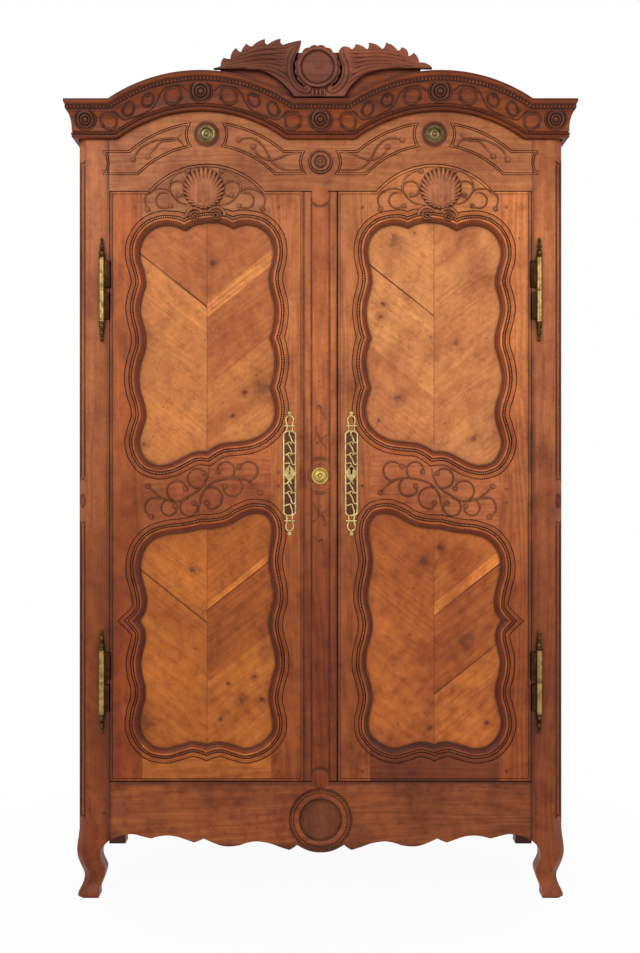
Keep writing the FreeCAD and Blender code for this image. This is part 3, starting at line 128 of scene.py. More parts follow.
class Graph:
    """Short hand for building one node tree."""

    def __init__(self, tree: Tree) -> None:
        """Keep the tree that nodes are added to, and empty it."""
        self.tree = tree
        tree.nodes.clear()

    def add(self, kind: str, sockets: dict[str | int, Value] | None = None, **settings) -> Node:
        """Add a node.

        Args:
            kind: Blender's name of the node.
            sockets: Inputs by name or number, each a value or an output to link.
            **settings: Attributes of the node.

        Returns:
            The new node.
        """
        made = self.tree.nodes.new(kind)
        for key, value in settings.items():
            setattr(made, key, value)
        for key, value in (sockets or {}).items():
            if isinstance(value, Socket):
                self.tree.links.new(value, made.inputs[key])
            else:
                made.inputs[key].default_value = value
        return made

    def place(self) -> Socket:
        """The object's own coordinates."""
        return self.add("ShaderNodeTexCoord").outputs["Object"]

    def math(self, operation: str, first: Value, second: Value = 0.0, clamp: bool = False) -> Socket:
        """Output of a Math node."""
        sockets = {0: first, 1: second}
        return self.add("ShaderNodeMath", sockets, operation=operation, use_clamp=clamp).outputs[0]

    def times(self, first: Value, second: Value) -> Socket:
        """Product of two values."""
        return self.math("MULTIPLY", first, second)

    def plus(self, first: Value, second: Value) -> Socket:
        """Sum of two values."""
        return self.math("ADD", first, second)

    def minus(self, first: Value, second: Value) -> Socket:
        """First value less the second."""
        return self.math("SUBTRACT", first, second)

    def vector(self, operation: str, first: Value, second: Value) -> Socket:
        """Output of a Vector Math node."""
        return self.add("ShaderNodeVectorMath", {0: first, 1: second}, operation=operation).outputs[0]

    def length(self, place: Value) -> Socket:
        """Length of a vector."""
        return self.add("ShaderNodeVectorMath", {0: place}, operation="LENGTH").outputs["Value"]

    def noise(self, place: Value, scale: float, detail: float, roughness: float = 0.5) -> Socket:
        """Value of a Noise texture."""
        sockets = {"Vector": place, "Scale": scale, "Detail": detail, "Roughness": roughness}
        return self.add("ShaderNodeTexNoise", sockets).outputs["Fac"]

    def mix(self, factor: Value, first: Value, second: Value, blend: str = "MIX") -> Socket:
        """Output of a colour Mix node."""
        sockets = {0: factor, 6: first, 7: second}
        return self.add("ShaderNodeMix", sockets, data_type="RGBA", blend_type=blend).outputs[2]

    def remap(self, value: Value, low: float, high: float, to_low: float = 0.0,
              to_high: float = 1.0) -> Socket:
        """Output of a smooth Map Range node."""
        sockets = {0: value, 1: low, 2: high, 3: to_low, 4: to_high}
        return self.add("ShaderNodeMapRange", sockets, interpolation_type="SMOOTHSTEP").outputs[0]

    def ramp(self, value: Value, stops: Sequence[tuple[float, Colour]], passing: str = "LINEAR") -> Socket:
        """Colour ramp.

        Args:
            value: What the ramp reads.
            stops: Place and colour of each stop.
            passing: How it passes from one stop to the next.

        Returns:
            Its colour.
        """
        made = self.add("ShaderNodeValToRGB", {0: value})
        made.color_ramp.interpolation = passing
        elements = made.color_ramp.elements
        while len(elements) < len(stops):
            elements.new(1.0)
        for element, (place, colour) in zip(elements, stops):
            element.position = place
            element.color = shade(colour)
        return made.outputs[0]


def new_group(name: str, inputs: dict[str, str], results: Sequence[str]) -> tuple[Graph, Outputs]:
    """Empty shader group with named sockets.

    Args:
        name: Name of the group.
        inputs: Kind of each input socket by its name.
        results: Names of the output sockets, each a value unless it is called Vector.

    Returns:
        The graph of the group and the outputs of its input node.
    """
    tree = bpy.data.node_groups.new(name, "ShaderNodeTree")
    for key, kind in inputs.items():
        tree.interface.new_socket(name=key, in_out="INPUT", socket_type="NodeSocket" + kind)
    for key in results:
        kind = "Vector" if key == "Vector" else "Float"
        tree.interface.new_socket(name=key, in_out="OUTPUT", socket_type="NodeSocket" + kind)
    graph = Graph(tree)
    return graph, graph.add("NodeGroupInput").outputs


@cache
def grain_group() -> Tree:
    """Group that draws wood whose grain runs along Z of the vector it is given.

    Returns:
        The group, built once.
    """
    inputs = {"Vector": "Vector", "Bands": "Float", "Figure": "Float"}
    g, given = new_group("wood_grain", inputs, ("Tone", "Fibre", "Pores"))
    place = given["Vector"]
    drawn = g.vector("MULTIPLY", place, (1.0, 0.7, 0.11))
    wander = g.noise(drawn, 6.5, 3.0, 0.55)
    pull = g.vector("SUBTRACT", wander.node.outputs["Color"], (0.5, 0.5, 0.5))
    pull = g.add("ShaderNodeVectorMath", {0: pull, "Scale": given["Figure"]}, operation="SCALE").outputs[0]
    turned = g.add("ShaderNodeMapping", {"Vector": g.vector("ADD", drawn, pull), "Rotation": (0.0, 0.0, 0.6)})
    sockets = {"Vector": turned.outputs[0], "Scale": given["Bands"], "Distortion": 2.2, "Detail": 2.0,
               "Detail Scale": 1.6}
    rings = g.add("ShaderNodeTexWave", sockets, wave_type="BANDS", bands_direction="X")
    fibre = g.noise(g.vector("MULTIPLY", place, (240.0, 240.0, 7.0)), 1.0, 3.0, 0.6)
    pores = g.noise(g.vector("MULTIPLY", place, (800.0, 800.0, 24.0)), 1.0, 1.0)
    tone = g.times(rings.outputs["Fac"], 0.13)
    tone = g.plus(tone, g.times(wander, 0.50))
    tone = g.plus(tone, g.times(fibre, 0.40))
    g.add("NodeGroupOutput", {"Tone": tone, "Fibre": fibre, "Pores": g.remap(pores, 0.60, 0.72)})
    return g.tree


@cache
def age_group() -> Tree:
    """Group that finds grooves by ambient occlusion, old stains and small dents; on wood the grooves take
    painted shade.

    Returns:
        The group, built once.
    """
    g, given = new_group("old_age", {"Vector": "Vector", "Depth": "Float"}, ("Groove", "Stain", "Dent"))
    place = given["Vector"]
    # The occlusion mask paints shade into grooves and gaps on wood, and places tarnish in the hollows of
    # metal.
    nearby = g.add("ShaderNodeAmbientOcclusion", {"Distance": given["Depth"]}, samples=6)
    groove = g.remap(nearby.outputs["AO"], 0.42, 0.94, 1.0, 0.0)
    stain = g.remap(g.noise(place, 2.6, 5.0, 0.62), 0.46, 0.74)
    cells = g.add("ShaderNodeTexVoronoi", {"Vector": place, "Scale": 34.0})
    chance = g.add("ShaderNodeSeparateColor", {0: cells.outputs["Color"]})
    rare = g.math("GREATER_THAN", chance.outputs[0], 0.86)
    dent = g.times(g.remap(cells.outputs["Distance"], 0.05, 0.12, 1.0, 0.0), rare)
    g.add("NodeGroupOutput", {"Groove": groove, "Stain": stain, "Dent": dent})
    return g.tree


@cache
def chevron_group() -> Tree:
    """Group that lays grain in a V that points down on both sides of a middle joint.

    Returns:
        The group, built once.
    """
    inputs = {"Vector": "Vector", "Joint": "Float", "Rise": "Float"}
    g, given = new_group("chevron_boards", inputs, ("Vector", "Across", "Half", "Seam"))
    x, y, z = g.add("ShaderNodeSeparateXYZ", {0: given["Vector"]}).outputs
    away = g.minus(x, given["Joint"])
    half = g.math("GREATER_THAN", away, 0.0)
    reach = g.math("ABSOLUTE", away)
    cosine = g.math("COSINE", given["Rise"])
    sine = g.math("SINE", given["Rise"])
    along = g.plus(g.times(reach, cosine), g.times(z, sine))
    across = g.minus(g.times(z, cosine), g.times(reach, sine))
    laid = g.add("ShaderNodeCombineXYZ", {0: g.plus(across, g.times(half, 3.7)), 1: y, 2: along})
    seam = g.remap(reach, 0.0003, 0.0011, 1.0, 0.0)
    g.add("NodeGroupOutput", {"Vector": laid.outputs[0], "Across": across, "Half": half, "Seam": seam})
    return g.tree


def aged(g: Graph, place: Socket, depth: float) -> Outputs:
    """Grooves, stains and dents of a material, with grooves as deep as given."""
    return g.add("ShaderNodeGroup", {"Vector": place, "Depth": depth}, node_tree=age_group()).outputs


# Finishes


@dataclass(frozen=True)
class Finish:
    """Any finish: its name and the slot that it fills."""

    name: str
    slot: Slot

    def build(self, g: Graph) -> None:
        """Lay the nodes of the finish."""
        raise NotImplementedError

    def material(self) -> bpy.types.Material:
        """Make the finish a material, once.

        Returns:
            The material.
        """
        made = bpy.data.materials.get(self.name)
        if made is None:
            made = bpy.data.materials.new(self.name)
            made.use_nodes = True
            self.build(Graph(made.node_tree))
        return made


@dataclass(frozen=True)
class WoodFinish(Finish):
    """Waxed fruit wood, with its colours from dark to light, how old it looks, and painted light and shade.
    """

    grain: Grain
    dark: Colour
    middle: Colour
    light: Colour
    crease: Colour = rgb(38, 18, 10)
    stain: float = 0.30
    # groove: strength of the painted shade in the grooves and gaps that ambient occlusion finds.
    groove: float = 0.85
    groove_depth: float = 0.007
    bands: float = 13.0
    figure: float = 0.30
    roughness: float = 0.42
    coat: float = 0.04
    shift: Triple = (0.0, 0.0, 0.0)
    # Colour that the deeper steps of a sunk moulding are multiplied by: painted shade.
    sunk: Colour | None = None
    foot: Colour | None = None
    face: float = 0.0
    # Lines given by axis, distance from the middle and reach, along which the wood is darkened: painted shade
    # in gaps between parts, with some soil.
    grime: tuple[tuple[int, float, float], ...] = ()
    tone: Colour = WHITE
    mottle: float = 0.6
    # outline darkens the sides of a relief that turn away from the front: painted shade round the carving.
    outline: float = 0.0

    def build(self, g: Graph) -> None:
        """Lay the nodes of the finish.

        Args:
            g: Graph of the material.
        """
        place = g.place()
        laid, wood = self.wood(g, place)
        self.close(g, place, laid, self.place_tints(g, place, wood))

    def grained(self, g: Graph, place: Socket) -> Outputs:
        """The grain on a vector that runs along it."""
        sockets = {"Vector": place, "Bands": self.bands, "Figure": self.figure}
        return g.add("ShaderNodeGroup", sockets, node_tree=grain_group()).outputs

    def wood(self, g: Graph, place: Socket) -> tuple[Outputs, Socket]:
        """Grain of plain boards.

        Args:
            g: Graph of the material.
            place: Output with the object's coordinates.

        Returns:
            The grain and the colour of the wood.
        """
        sockets = {"Vector": place, "Rotation": self.grain.value, "Location": self.shift}
        turned = g.add("ShaderNodeMapping", sockets)
        laid = self.grained(g, turned.outputs[0])
        return laid, g.ramp(laid["Tone"], [(0.30, self.dark), (0.52, self.middle), (0.74, self.light)])

    def place_tints(self, g: Graph, place: Socket, wood: Socket) -> Socket:
        """Tint the wood by where it lies.

        Args:
            g: Graph of the material.
            place: Output with the object's coordinates.
            wood: Colour of the wood.

        Returns:
            The colour with its mottling, painted light and shade on mouldings, a darker foot, and painted
            shade with some soil along gaps.
        """
        parts = g.add("ShaderNodeSeparateXYZ", {0: place}).outputs
        if self.tone != WHITE:
            wood = g.mix(1.0, wood, shade(self.tone), "MULTIPLY")
        for scale, roughness, low, pale in ((4.2, 0.68, (0.60, 0.47, 0.42), (1.20, 1.22, 1.14)),
                                            (34.0, 0.78, (0.74, 0.64, 0.60), (1.12, 1.14, 1.10))):
            spread = 0.18 if scale < 10 else 0.16
            stops = [(0.50 - spread, low), (0.50, WHITE), (0.50 + spread, pale)]
            wood = g.mix(self.mottle, wood, g.ramp(g.noise(place, scale, 6.0, roughness), stops), "MULTIPLY")
        if self.foot is not None:
            wood = g.mix(g.remap(parts[2], 1.60, 0.70), wood, shade(self.foot), "MULTIPLY")
        # Painted highlight and shade on the steps of the sunk mouldings.
        if self.sunk is not None:
            wood = self.moulding_tints(g, g.minus(parts[1], self.face), wood)
        # Darken along the gap lines: painted shade in the gaps, with some soil.
        if self.grime:
            gap_shade_and_soil = 0.0
            for axis, line, reach in self.grime:
                away = g.math("ABSOLUTE", g.minus(g.math("ABSOLUTE", parts[axis]), line))
                gap_shade_and_soil = g.math("MAXIMUM", gap_shade_and_soil, g.remap(away, 0.001, reach, 1.0, 0.0))
            patchy = g.remap(g.noise(place, 9.0, 4.0, 0.65), 0.34, 0.62, 0.45, 0.75)
            wood = g.mix(g.times(gap_shade_and_soil, patchy), wood, shade(self.crease, 1.6))
        return wood

    def moulding_tints(self, g: Graph, depth: Socket, wood: Socket) -> Socket:
        """Paint light and shade on the steps of a sunk moulding.

        Args:
            g: Graph of the material.
            depth: Distance behind the face.
            wood: Colour of the wood.

        Returns:
            The colour, with a painted highlight on the ridge and painted shade in the hollows.
        """
        # Below the face the moulding is darkened; its ridge gets a painted highlight and its deeper steps
        # painted shade.
        far = g.remap(depth, 0.0135, 0.0150, 1.0, 0.0)
        ridge = g.times(g.remap(depth, 0.0007, 0.0010), g.remap(depth, 0.0013, 0.0016, 1.0, 0.0))
        for near, tint in ((g.remap(depth, 0.00012, 0.00022), (0.86, 0.76, 0.66)),
                           (ridge, (1.40, 1.36, 1.25)), (g.remap(depth, 0.0014, 0.0032), self.sunk)):
            wood = g.mix(g.times(near, far), wood, shade(tint), "MULTIPLY")
        # Dark bands at given depths: painted shade in the hollows of the moulding and at the edge of the
        # panel.
        for low, high, share in ((0.0023, 0.0027, 0.60), (0.0036, 0.0043, 0.62), (0.0070, 0.0134, 0.75)):
            under = g.remap(depth, low - 0.0003, low, 0.0, share)
            over = g.remap(depth, high, high + 0.0003, 1.0, 0.0)
            wood = g.mix(g.times(under, over), wood, shade(self.crease, 1.8))
        return wood

    def close(self, g: Graph, place: Socket, laid: Outputs, wood: Socket) -> None:
        """Add age, painted shade in grooves, gloss and relief to the wood and end the tree.

        Args:
            g: Graph of the material.
            place: Output with the object's coordinates.
            laid: The grain.
            wood: Colour of the wood.
        """
        age = aged(g, place, self.groove_depth)
        # Pores, stains and dents are the wood's own marks; the groove mask is painted shade in grooves and
        # gaps, with some soil.
        for mask, strength, colour in ((laid["Pores"], 0.35, shade(self.dark, 0.55)),
                                       (age["Stain"], self.stain, shade(self.dark, 0.62)),
                                       (age["Dent"], 0.6, shade(self.crease)),
                                       (age["Groove"], self.groove, shade(self.crease))):
            wood = g.mix(g.times(mask, strength), wood, colour)
        # Sides turned away from the front are darkened: painted shade round the relief.
        if self.outline:
            normal = g.add("ShaderNodeTexCoord").outputs["Normal"]
            facing = g.math("ABSOLUTE", g.add("ShaderNodeSeparateXYZ", {0: normal}).outputs[1])
            wood = g.mix(g.remap(facing, 0.55, 0.96, self.outline, 0.0), wood, shade(self.crease, 2.4))
        rough = g.plus(g.times(age["Groove"], 0.28), self.roughness)
        rough = g.plus(rough, g.times(laid["Fibre"], 0.10))
        height = g.minus(g.minus(laid["Fibre"], g.times(laid["Pores"], 0.6)), age["Dent"])
        bump = g.add("ShaderNodeBump", {"Height": height, "Strength": 0.22, "Distance": 0.0006})
        sockets = {"Base Color": wood, "Roughness": rough, "Normal": bump.outputs[0],
                   "Coat Weight": self.coat, "Coat Roughness": 0.30, "Specular IOR Level": 0.22}
        skin = g.add("ShaderNodeBsdfPrincipled", sockets)
        g.add("ShaderNodeOutputMaterial", {0: skin.outputs[0]})


@dataclass(frozen=True)
class PanelFinish(WoodFinish):
    """Door panel of slanting boards: the level at the joint where each board starts, and its tone."""

    joint: float = 0.0
    rise: float = 0.672
    left_boards: Line = ()
    right_boards: Line = ()
    seam: float = 0.0007
    knots: tuple[Triple, ...] = ()

    def knotted(self, g: Graph, place: Socket, wood: Socket) -> Socket:
        """Add the dark knots and stains, given by x, z and size in millimetres.

        Args:
            g: Graph of the material.
            place: Output with the object's coordinates.
            wood: Colour of the wood.

        Returns:
            The colour with its knots.
        """
        ragged = g.remap(g.noise(place, 55.0, 4.0, 0.7), 0.25, 0.75, -0.45, 0.45)
        for x, z, size in self.knots:
            away = g.vector("SUBTRACT", place, (x * MM, 0.0, z * MM))
            away = g.vector("MULTIPLY", away, (1 / (size * MM), 0.0, 1 / (size * MM)))
            reach = g.plus(g.length(away), ragged)
            share = min(0.85, 6.0 / size + 0.30)
            wood = g.mix(g.remap(reach, 0.5, 2.6, 0.34, 0.0), wood, shade(self.dark, 0.5))
            wood = g.mix(g.remap(reach, 0.15, 1.0, share, 0.0), wood, shade(rgb(74, 38, 30)))
        return wood

    def boards(self, g: Graph, across: Socket, starts: Line) -> Socket:
        """Tone of each board on one half.

        Args:
            g: Graph of the material.
            across: Output with the distance across the boards.
            starts: Level at the joint and tone of each board, from the top down.

        Returns:
            The tone, dark along the seams.
        """
        slant = math.cos(self.rise)
        low, high = starts[-1][0] * slant - 0.35, starts[0][0] * slant + 0.05
        rising = starts[::-1]
        stops = [(0.0, (rising[0][1],) * 3)]
        for i, (level, tone) in enumerate(rising):
            spot = (level * slant - low) / (high - low)
            above = rising[i + 1][1] if i + 1 < len(rising) else tone
            stops += [(max(0.0, spot - self.seam), (0.0,) * 3), (spot + self.seam, (above,) * 3)]
        share = g.math("DIVIDE", g.minus(across, low), high - low)
        return g.ramp(share, stops, "CONSTANT")

    def wood(self, g: Graph, place: Socket) -> tuple[Outputs, Socket]:
        """Grain of the slanting boards, with their own tones and a few knots.

        Args:
            g: Graph of the material.
            place: Output with the object's coordinates.

        Returns:
            The grain and the colour of the wood.
        """
        sockets = {"Vector": place, "Joint": self.joint, "Rise": self.rise}
        slant = g.add("ShaderNodeGroup", sockets, node_tree=chevron_group()).outputs
        laid = self.grained(g, slant["Vector"])
        halves = [self.boards(g, slant["Across"], half) for half in (self.left_boards, self.right_boards)]
        tone = g.mix(slant["Half"], *halves)
        swing = g.times(g.minus(laid["Tone"], 0.52), 1.15)
        pale = tuple(min(1.0, c * 1.35) for c in self.light)
        stops = [(0.0, rgb(92, 46, 26)), (0.16, self.dark), (0.5, self.middle), (0.84, self.light),
                 (1.0, pale)]
        wood = g.ramp(g.math("ADD", tone, swing, clamp=True), stops)
        stretched = g.vector("MULTIPLY", slant["Vector"], (1.0, 1.0, 0.62))
        cells = g.add("ShaderNodeTexVoronoi", {"Vector": stretched, "Scale": 5.2}).outputs
        spread = g.plus(cells["Distance"], g.times(g.noise(stretched, 60.0, 3.0), 0.10))
        chance = g.add("ShaderNodeSeparateColor", {0: cells["Color"]}).outputs[0]
        knot = g.times(g.remap(spread, 0.07, 0.19, 1.0, 0.0), g.math("GREATER_THAN", chance, 0.72))
        wood = g.mix(g.times(knot, 0.5), wood, shade(rgb(96, 52, 36)))
        wood = self.knotted(g, place, wood)
        return laid, g.mix(g.times(slant["Seam"], 0.75), wood, shade(rgb(70, 36, 20)))


@dataclass(frozen=True)
class MetalFinish(Finish):
    """Old metal with tarnish in its hollows."""

    bright: Colour
    dull: Colour
    crease: Colour = rgb(42, 30, 16)
    roughness: float = 0.34
    groove_depth: float = 0.005

    def build(self, g: Graph) -> None:
        """Lay the nodes of the finish.

        Args:
            g: Graph of the material.
        """
        place = g.place()
        cloud = g.noise(place, 70.0, 5.0, 0.65)
        groove = aged(g, place, self.groove_depth)["Groove"]
        metal = g.mix(g.remap(cloud, 0.36, 0.70), shade(self.bright), shade(self.dull))
        metal = g.mix(g.times(groove, 0.8), metal, shade(self.crease))
        rough = g.plus(g.times(cloud, 0.22), self.roughness - 0.08)
        rough = g.plus(rough, g.times(groove, 0.25))
        sockets = {"Height": g.noise(place, 420.0, 2.0), "Strength": 0.12, "Distance": 0.0003}
        bump = g.add("ShaderNodeBump", sockets)
        sockets = {"Base Color": metal, "Roughness": rough, "Metallic": 1.0, "Normal": bump.outputs[0]}
        skin = g.add("ShaderNodeBsdfPrincipled", sockets)
        g.add("ShaderNodeOutputMaterial", {0: skin.outputs[0]})


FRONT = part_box("front_top_rail")[0].y
REDDISH = rgb(195, 172, 150)
# Gap lines along which the wood is darkened: painted shade with some soil.
HINGE_GAP = (0, 0.5903, 0.019)
MEETING_GAP = (0, 0.0472, 0.008)
FOOT_GAP = (2, 0.3265, 0.012)
# Painted shade for the deeper steps of the door mouldings.
SUNK_SHADE = rgb(222, 188, 158)
STILE = WoodFinish("waxed_upright", Slot.FRAME, Grain.UPRIGHT, rgb(152, 84, 46), rgb(190, 114, 67),
                   rgb(210, 134, 82), sunk=SUNK_SHADE, foot=REDDISH, face=FRONT, mottle=0.9,
                   grime=(HINGE_GAP, MEETING_GAP))
RAIL = replace(STILE, name="waxed_level", grain=Grain.LEVEL, grime=(FOOT_GAP,))
HEAD = replace(RAIL, name="waxed_head", grime=(), tone=(0.84, 0.82, 0.81))
SIDE_BOARD = replace(STILE, name="waxed_side", grain=Grain.DEEP, sunk=None, grime=())
POST = replace(STILE, name="waxed_post", sunk=None, shift=(0.4, 0.1, 0.7), grime=(HINGE_GAP,),
               tone=(0.90, 0.80, 0.72))
# Rear posts are painted near black and darker still towards the floor: painted shade under the case, with
# some soil near the floor.
REAR = replace(POST, name="dark_rear", tone=(0.30, 0.24, 0.22), grime=((2, 0.05, 0.20),))
# The apron is darkened under the doors, beside the posts and along a line 140 mm up: painted shade with some
# soil.
APRON = WoodFinish("waxed_apron", Slot.FRAME, Grain.LEVEL, rgb(108, 53, 25), rgb(143, 73, 37),
                   rgb(166, 90, 46), stain=0.4, mottle=1.0,
                   grime=((2, 0.3265, 0.016), (0, 0.591, 0.012), (2, 0.140, 0.020)))
# Carvings darken their sides through outline: painted shade round the relief.
CARVED = replace(STILE, name="waxed_carving", dark=rgb(140, 80, 48), middle=rgb(178, 107, 67),
                 light=rgb(202, 130, 84), sunk=None, groove_depth=0.0035, grime=(), outline=0.75)
CORNICE = WoodFinish("waxed_cornice", Slot.CORNICE, Grain.LEVEL, rgb(92, 37, 8), rgb(134, 59, 14),
                     rgb(164, 80, 21), groove_depth=0.016, figure=0.2)
# The cornice's carving is far darker than the cornice: it stands in for the painted shade and soil round its
# stems.
CORNICE_CARVED = replace(CORNICE, name="waxed_cornice_carving", dark=rgb(58, 27, 13), middle=rgb(82, 40, 20),
                         light=rgb(106, 55, 28), groove_depth=0.005, outline=0.8)
CREST = WoodFinish("waxed_crest", Slot.CREST, Grain.LEVEL, rgb(96, 48, 31), rgb(124, 66, 44),
                   rgb(147, 81, 55), groove_depth=0.010, figure=0.12, bands=6.0, outline=0.45)
CREST_BOARD = replace(CORNICE, name="waxed_crest_board", slot=Slot.CREST, middle=rgb(136, 66, 30))
INNER = WoodFinish("bare_inside", Slot.INNER, Grain.LEVEL, rgb(128, 88, 54), rgb(160, 116, 74),
                   rgb(184, 140, 94), roughness=0.62, coat=0.0)
BACK = replace(INNER, name="bare_back", grain=Grain.UPRIGHT)
PEG = replace(STILE, name="waxed_peg", slot=Slot.PEG, grain=Grain.DEEP, dark=rgb(110, 60, 36),
              middle=rgb(146, 86, 54), light=rgb(170, 104, 66), sunk=None)
BRASS = MetalFinish("old_brass", Slot.BRASS, rgb(168, 138, 84), rgb(108, 84, 48))
PLATE_BRASS = MetalFinish("cleaned_brass", Slot.BRASS, rgb(200, 178, 118), rgb(160, 135, 84),
                          groove_depth=0.003)
BOSS_BRASS = MetalFinish("boss_brass", Slot.BRASS, rgb(128, 110, 70), rgb(74, 62, 36), crease=rgb(24, 18, 10),
                         groove_depth=0.012)
BRONZE = MetalFinish("dark_bronze", Slot.BRASS, rgb(92, 72, 38), rgb(40, 31, 18))
# The hinge necks are dark brown: painted shadow beside the knuckles.
SHADED_NECK = MetalFinish("black_bronze", Slot.BRASS, rgb(66, 40, 26), rgb(44, 27, 18))
IRON = MetalFinish("old_iron", Slot.IRON, rgb(98, 92, 86), rgb(62, 54, 48), roughness=0.5)

# groove darkens the border of each panel beside its moulding: painted shade with some soil.
PANEL = WoodFinish("panel", Slot.PANEL, Grain.UPRIGHT, rgb(172, 98, 60), rgb(192, 118, 70), rgb(208, 138, 84),
                   stain=0.22, groove=0.6, groove_depth=0.022, mottle=1.0)
LOWER_PANEL = replace(PANEL, dark=rgb(142, 74, 38), middle=rgb(164, 92, 46), light=rgb(182, 110, 58))
Board = tuple[Side, str]
PANEL_BOARDS: dict[Board, tuple[Line, Line]] = {
    (Side.LEFT, "upper"): (((2.2, 0.42), (1.655, 0.78), (1.411, 0.70), (1.253, 0.74)),
                           ((2.2, 0.44), (1.671, 0.88), (1.627, 0.36), (1.431, 0.70))),
    (Side.LEFT, "lower"): (((1.3, 0.62), (0.768, 0.56), (0.627, 0.52)),
                           ((1.3, 0.42), (0.822, 0.93), (0.800, 0.26), (0.599, 0.60))),
    (Side.RIGHT, "upper"): (((2.2, 0.70), (1.630, 0.78), (1.401, 0.46)),
                            ((2.2, 0.66), (1.632, 0.56), (1.360, 0.62))),
    (Side.RIGHT, "lower"): (((1.3, 0.34), (0.742, 0.46), (0.610, 0.42)),
                            ((1.3, 0.50), (0.822, 0.92), (0.785, 0.30), (0.566, 0.58))),
}
BOARD_TONES: dict[Board, Colour] = {
    (Side.LEFT, "hinge_stile"): (0.95, 0.73, 0.48), (Side.LEFT, "bottom_rail"): (1.40, 1.50, 1.06),
    (Side.RIGHT, "hinge_stile"): (1.25, 1.16, 0.96), (Side.RIGHT, "bottom_rail"): (0.62, 0.53, 0.58),
    (Side.LEFT, "meeting_stile"): (1.05, 0.96, 0.82), (Side.RIGHT, "meeting_stile"): (1.03, 1.01, 0.94),
    (Side.LEFT, "middle_rail"): (1.04, 0.88, 0.83), (Side.RIGHT, "middle_rail"): (1.11, 1.02, 1.00),
    (Side.LEFT, "top_rail"): (0.82, 0.86, 0.92), (Side.RIGHT, "top_rail"): (1.08, 1.08, 0.98),
}
PANEL_TONES: dict[Board, Colour] = {
    (Side.LEFT, "upper"): (0.98, 0.84, 0.63), (Side.LEFT, "lower"): (1.19, 1.09, 0.66),
    (Side.RIGHT, "upper"): (1.11, 1.07, 0.97), (Side.RIGHT, "lower"): (1.30, 1.18, 0.86),
}
KNOTS: dict[Board, tuple[Triple, ...]] = {
    (Side.LEFT, "upper"): ((-213, 1418, 9), (-160, 1429, 30), (-247, 1352, 8), (-496, 1272, 9),
                           (-301, 1781, 12)),
    (Side.LEFT, "lower"): ((-359, 919, 11), (-492, 491, 34), (-280, 497, 7), (-223, 552, 13), (-186, 618, 7),
                           (-259, 597, 5), (-165, 554, 12)),
    (Side.RIGHT, "upper"): ((220, 1401, 18), (176, 1666, 10), (169, 1630, 8), (381, 1558, 13),
                            (434, 1285, 13), (263, 1866, 7), (205, 1840, 24), (309, 1572, 5), (164, 1336, 8)),
    (Side.RIGHT, "lower"): ((290, 941, 20), (306, 471, 12), (337, 979, 12), (410, 719, 34), (468, 488, 9),
                            (217, 485, 4), (251, 736, 4)),
}


# Work on meshes


def clear() -> None:
    """Leave edit mode with nothing selected."""
    if bpy.context.object is not None and bpy.context.object.mode != "OBJECT":
        bpy.ops.object.mode_set(mode="OBJECT")
    bpy.ops.object.select_all(action="DESELECT")


def pick(piece: Piece) -> None:
    """Make one object the only selected and the active one.

    Args:
        piece: The object.
    """
    clear()
    piece.select_set(True)
    bpy.context.view_layer.objects.active = piece


@contextmanager
def editing(piece: Piece) -> Iterator[None]:
    """Edit mode with the whole mesh selected.

    Args:
        piece: The object to edit.

    Returns:
        A context that ends in object mode.
    """
    pick(piece)
    bpy.ops.object.mode_set(mode="EDIT")
    bpy.ops.mesh.select_all(action="SELECT")
    yield
    bpy.ops.object.mode_set(mode="OBJECT")


def linked(name: str, data: bpy.types.ID) -> Piece:
    """New object in the scene.

    Args:
        name: Its name.
        data: What it holds.

    Returns:
        The object.
    """
    piece = bpy.data.objects.new(name, data)
    bpy.context.scene.collection.objects.link(piece)
    return piece


def added(name: str) -> Piece:
    """The shape that was just added, its placing taken into its mesh.

    Args:
        name: Name that it gets.

    Returns:
        The object.
    """
    piece = bpy.context.object
    piece.name = name
    bpy.ops.object.transform_apply(location=True, rotation=True, scale=True)
    return piece


def block(name: str, centre: Sequence[float], size: Sequence[float]) -> Piece:
    """Rectangular block.

    Args:
        name: Its name.
        centre: Its middle in millimetres.
        size: Its size in millimetres.

    Returns:
        The mesh object.
    """
    clear()
    bpy.ops.mesh.primitive_cube_add(size=1.0, location=[c * MM for c in centre], scale=[s * MM for s in size])
    return added(name)


def apply_modifier(piece: Piece, kind: str, **settings) -> None:
    """Add one modifier and apply it.

    Args:
        piece: The object.
        kind: Blender's name of the modifier.
        **settings: Attributes of the modifier.
    """
    pick(piece)
    made = piece.modifiers.new(kind.lower(), kind)
    for key, value in settings.items():
        setattr(made, key, value)
    bpy.ops.object.modifier_apply(modifier=made.name)


def cut(piece: Piece, cutter: Piece, **settings) -> None:
    """Cut a shape out of a piece."""
    apply_modifier(piece, "BOOLEAN", operation="DIFFERENCE", solver="EXACT", object=cutter, **settings)


def smooth(piece: Piece, degrees: float = 34.0) -> None:
    """Smooth shading with sharp edges above an angle."""
    pick(piece)
    bpy.ops.object.shade_smooth_by_angle(angle=math.radians(degrees))


def outward(piece: Piece) -> None:
    """Merge doubles and turn every face outwards.

    Args:
        piece: The object.
    """
    with editing(piece):
        bpy.ops.mesh.remove_doubles(threshold=1e-6)
        bpy.ops.mesh.normals_make_consistent(inside=False)


def settle(piece: Piece, finish: Finish, body: Body = Body.CASE, *nodes: str) -> None:
    """Give a finished piece its material and body, and hide the solids that it stands for.

    Args:
        piece: The finished mesh object.
        finish: Finish that it wears.
        body: Body that it rides on.
        *nodes: Solids that it stands for.
    """
    piece.data.materials.clear()
    piece.data.materials.append(finish.material())
    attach(piece, body.value)
    if nodes:
        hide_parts(*nodes)
    log.info("%s: %d faces on %s", piece.name, len(piece.data.polygons), body.value)


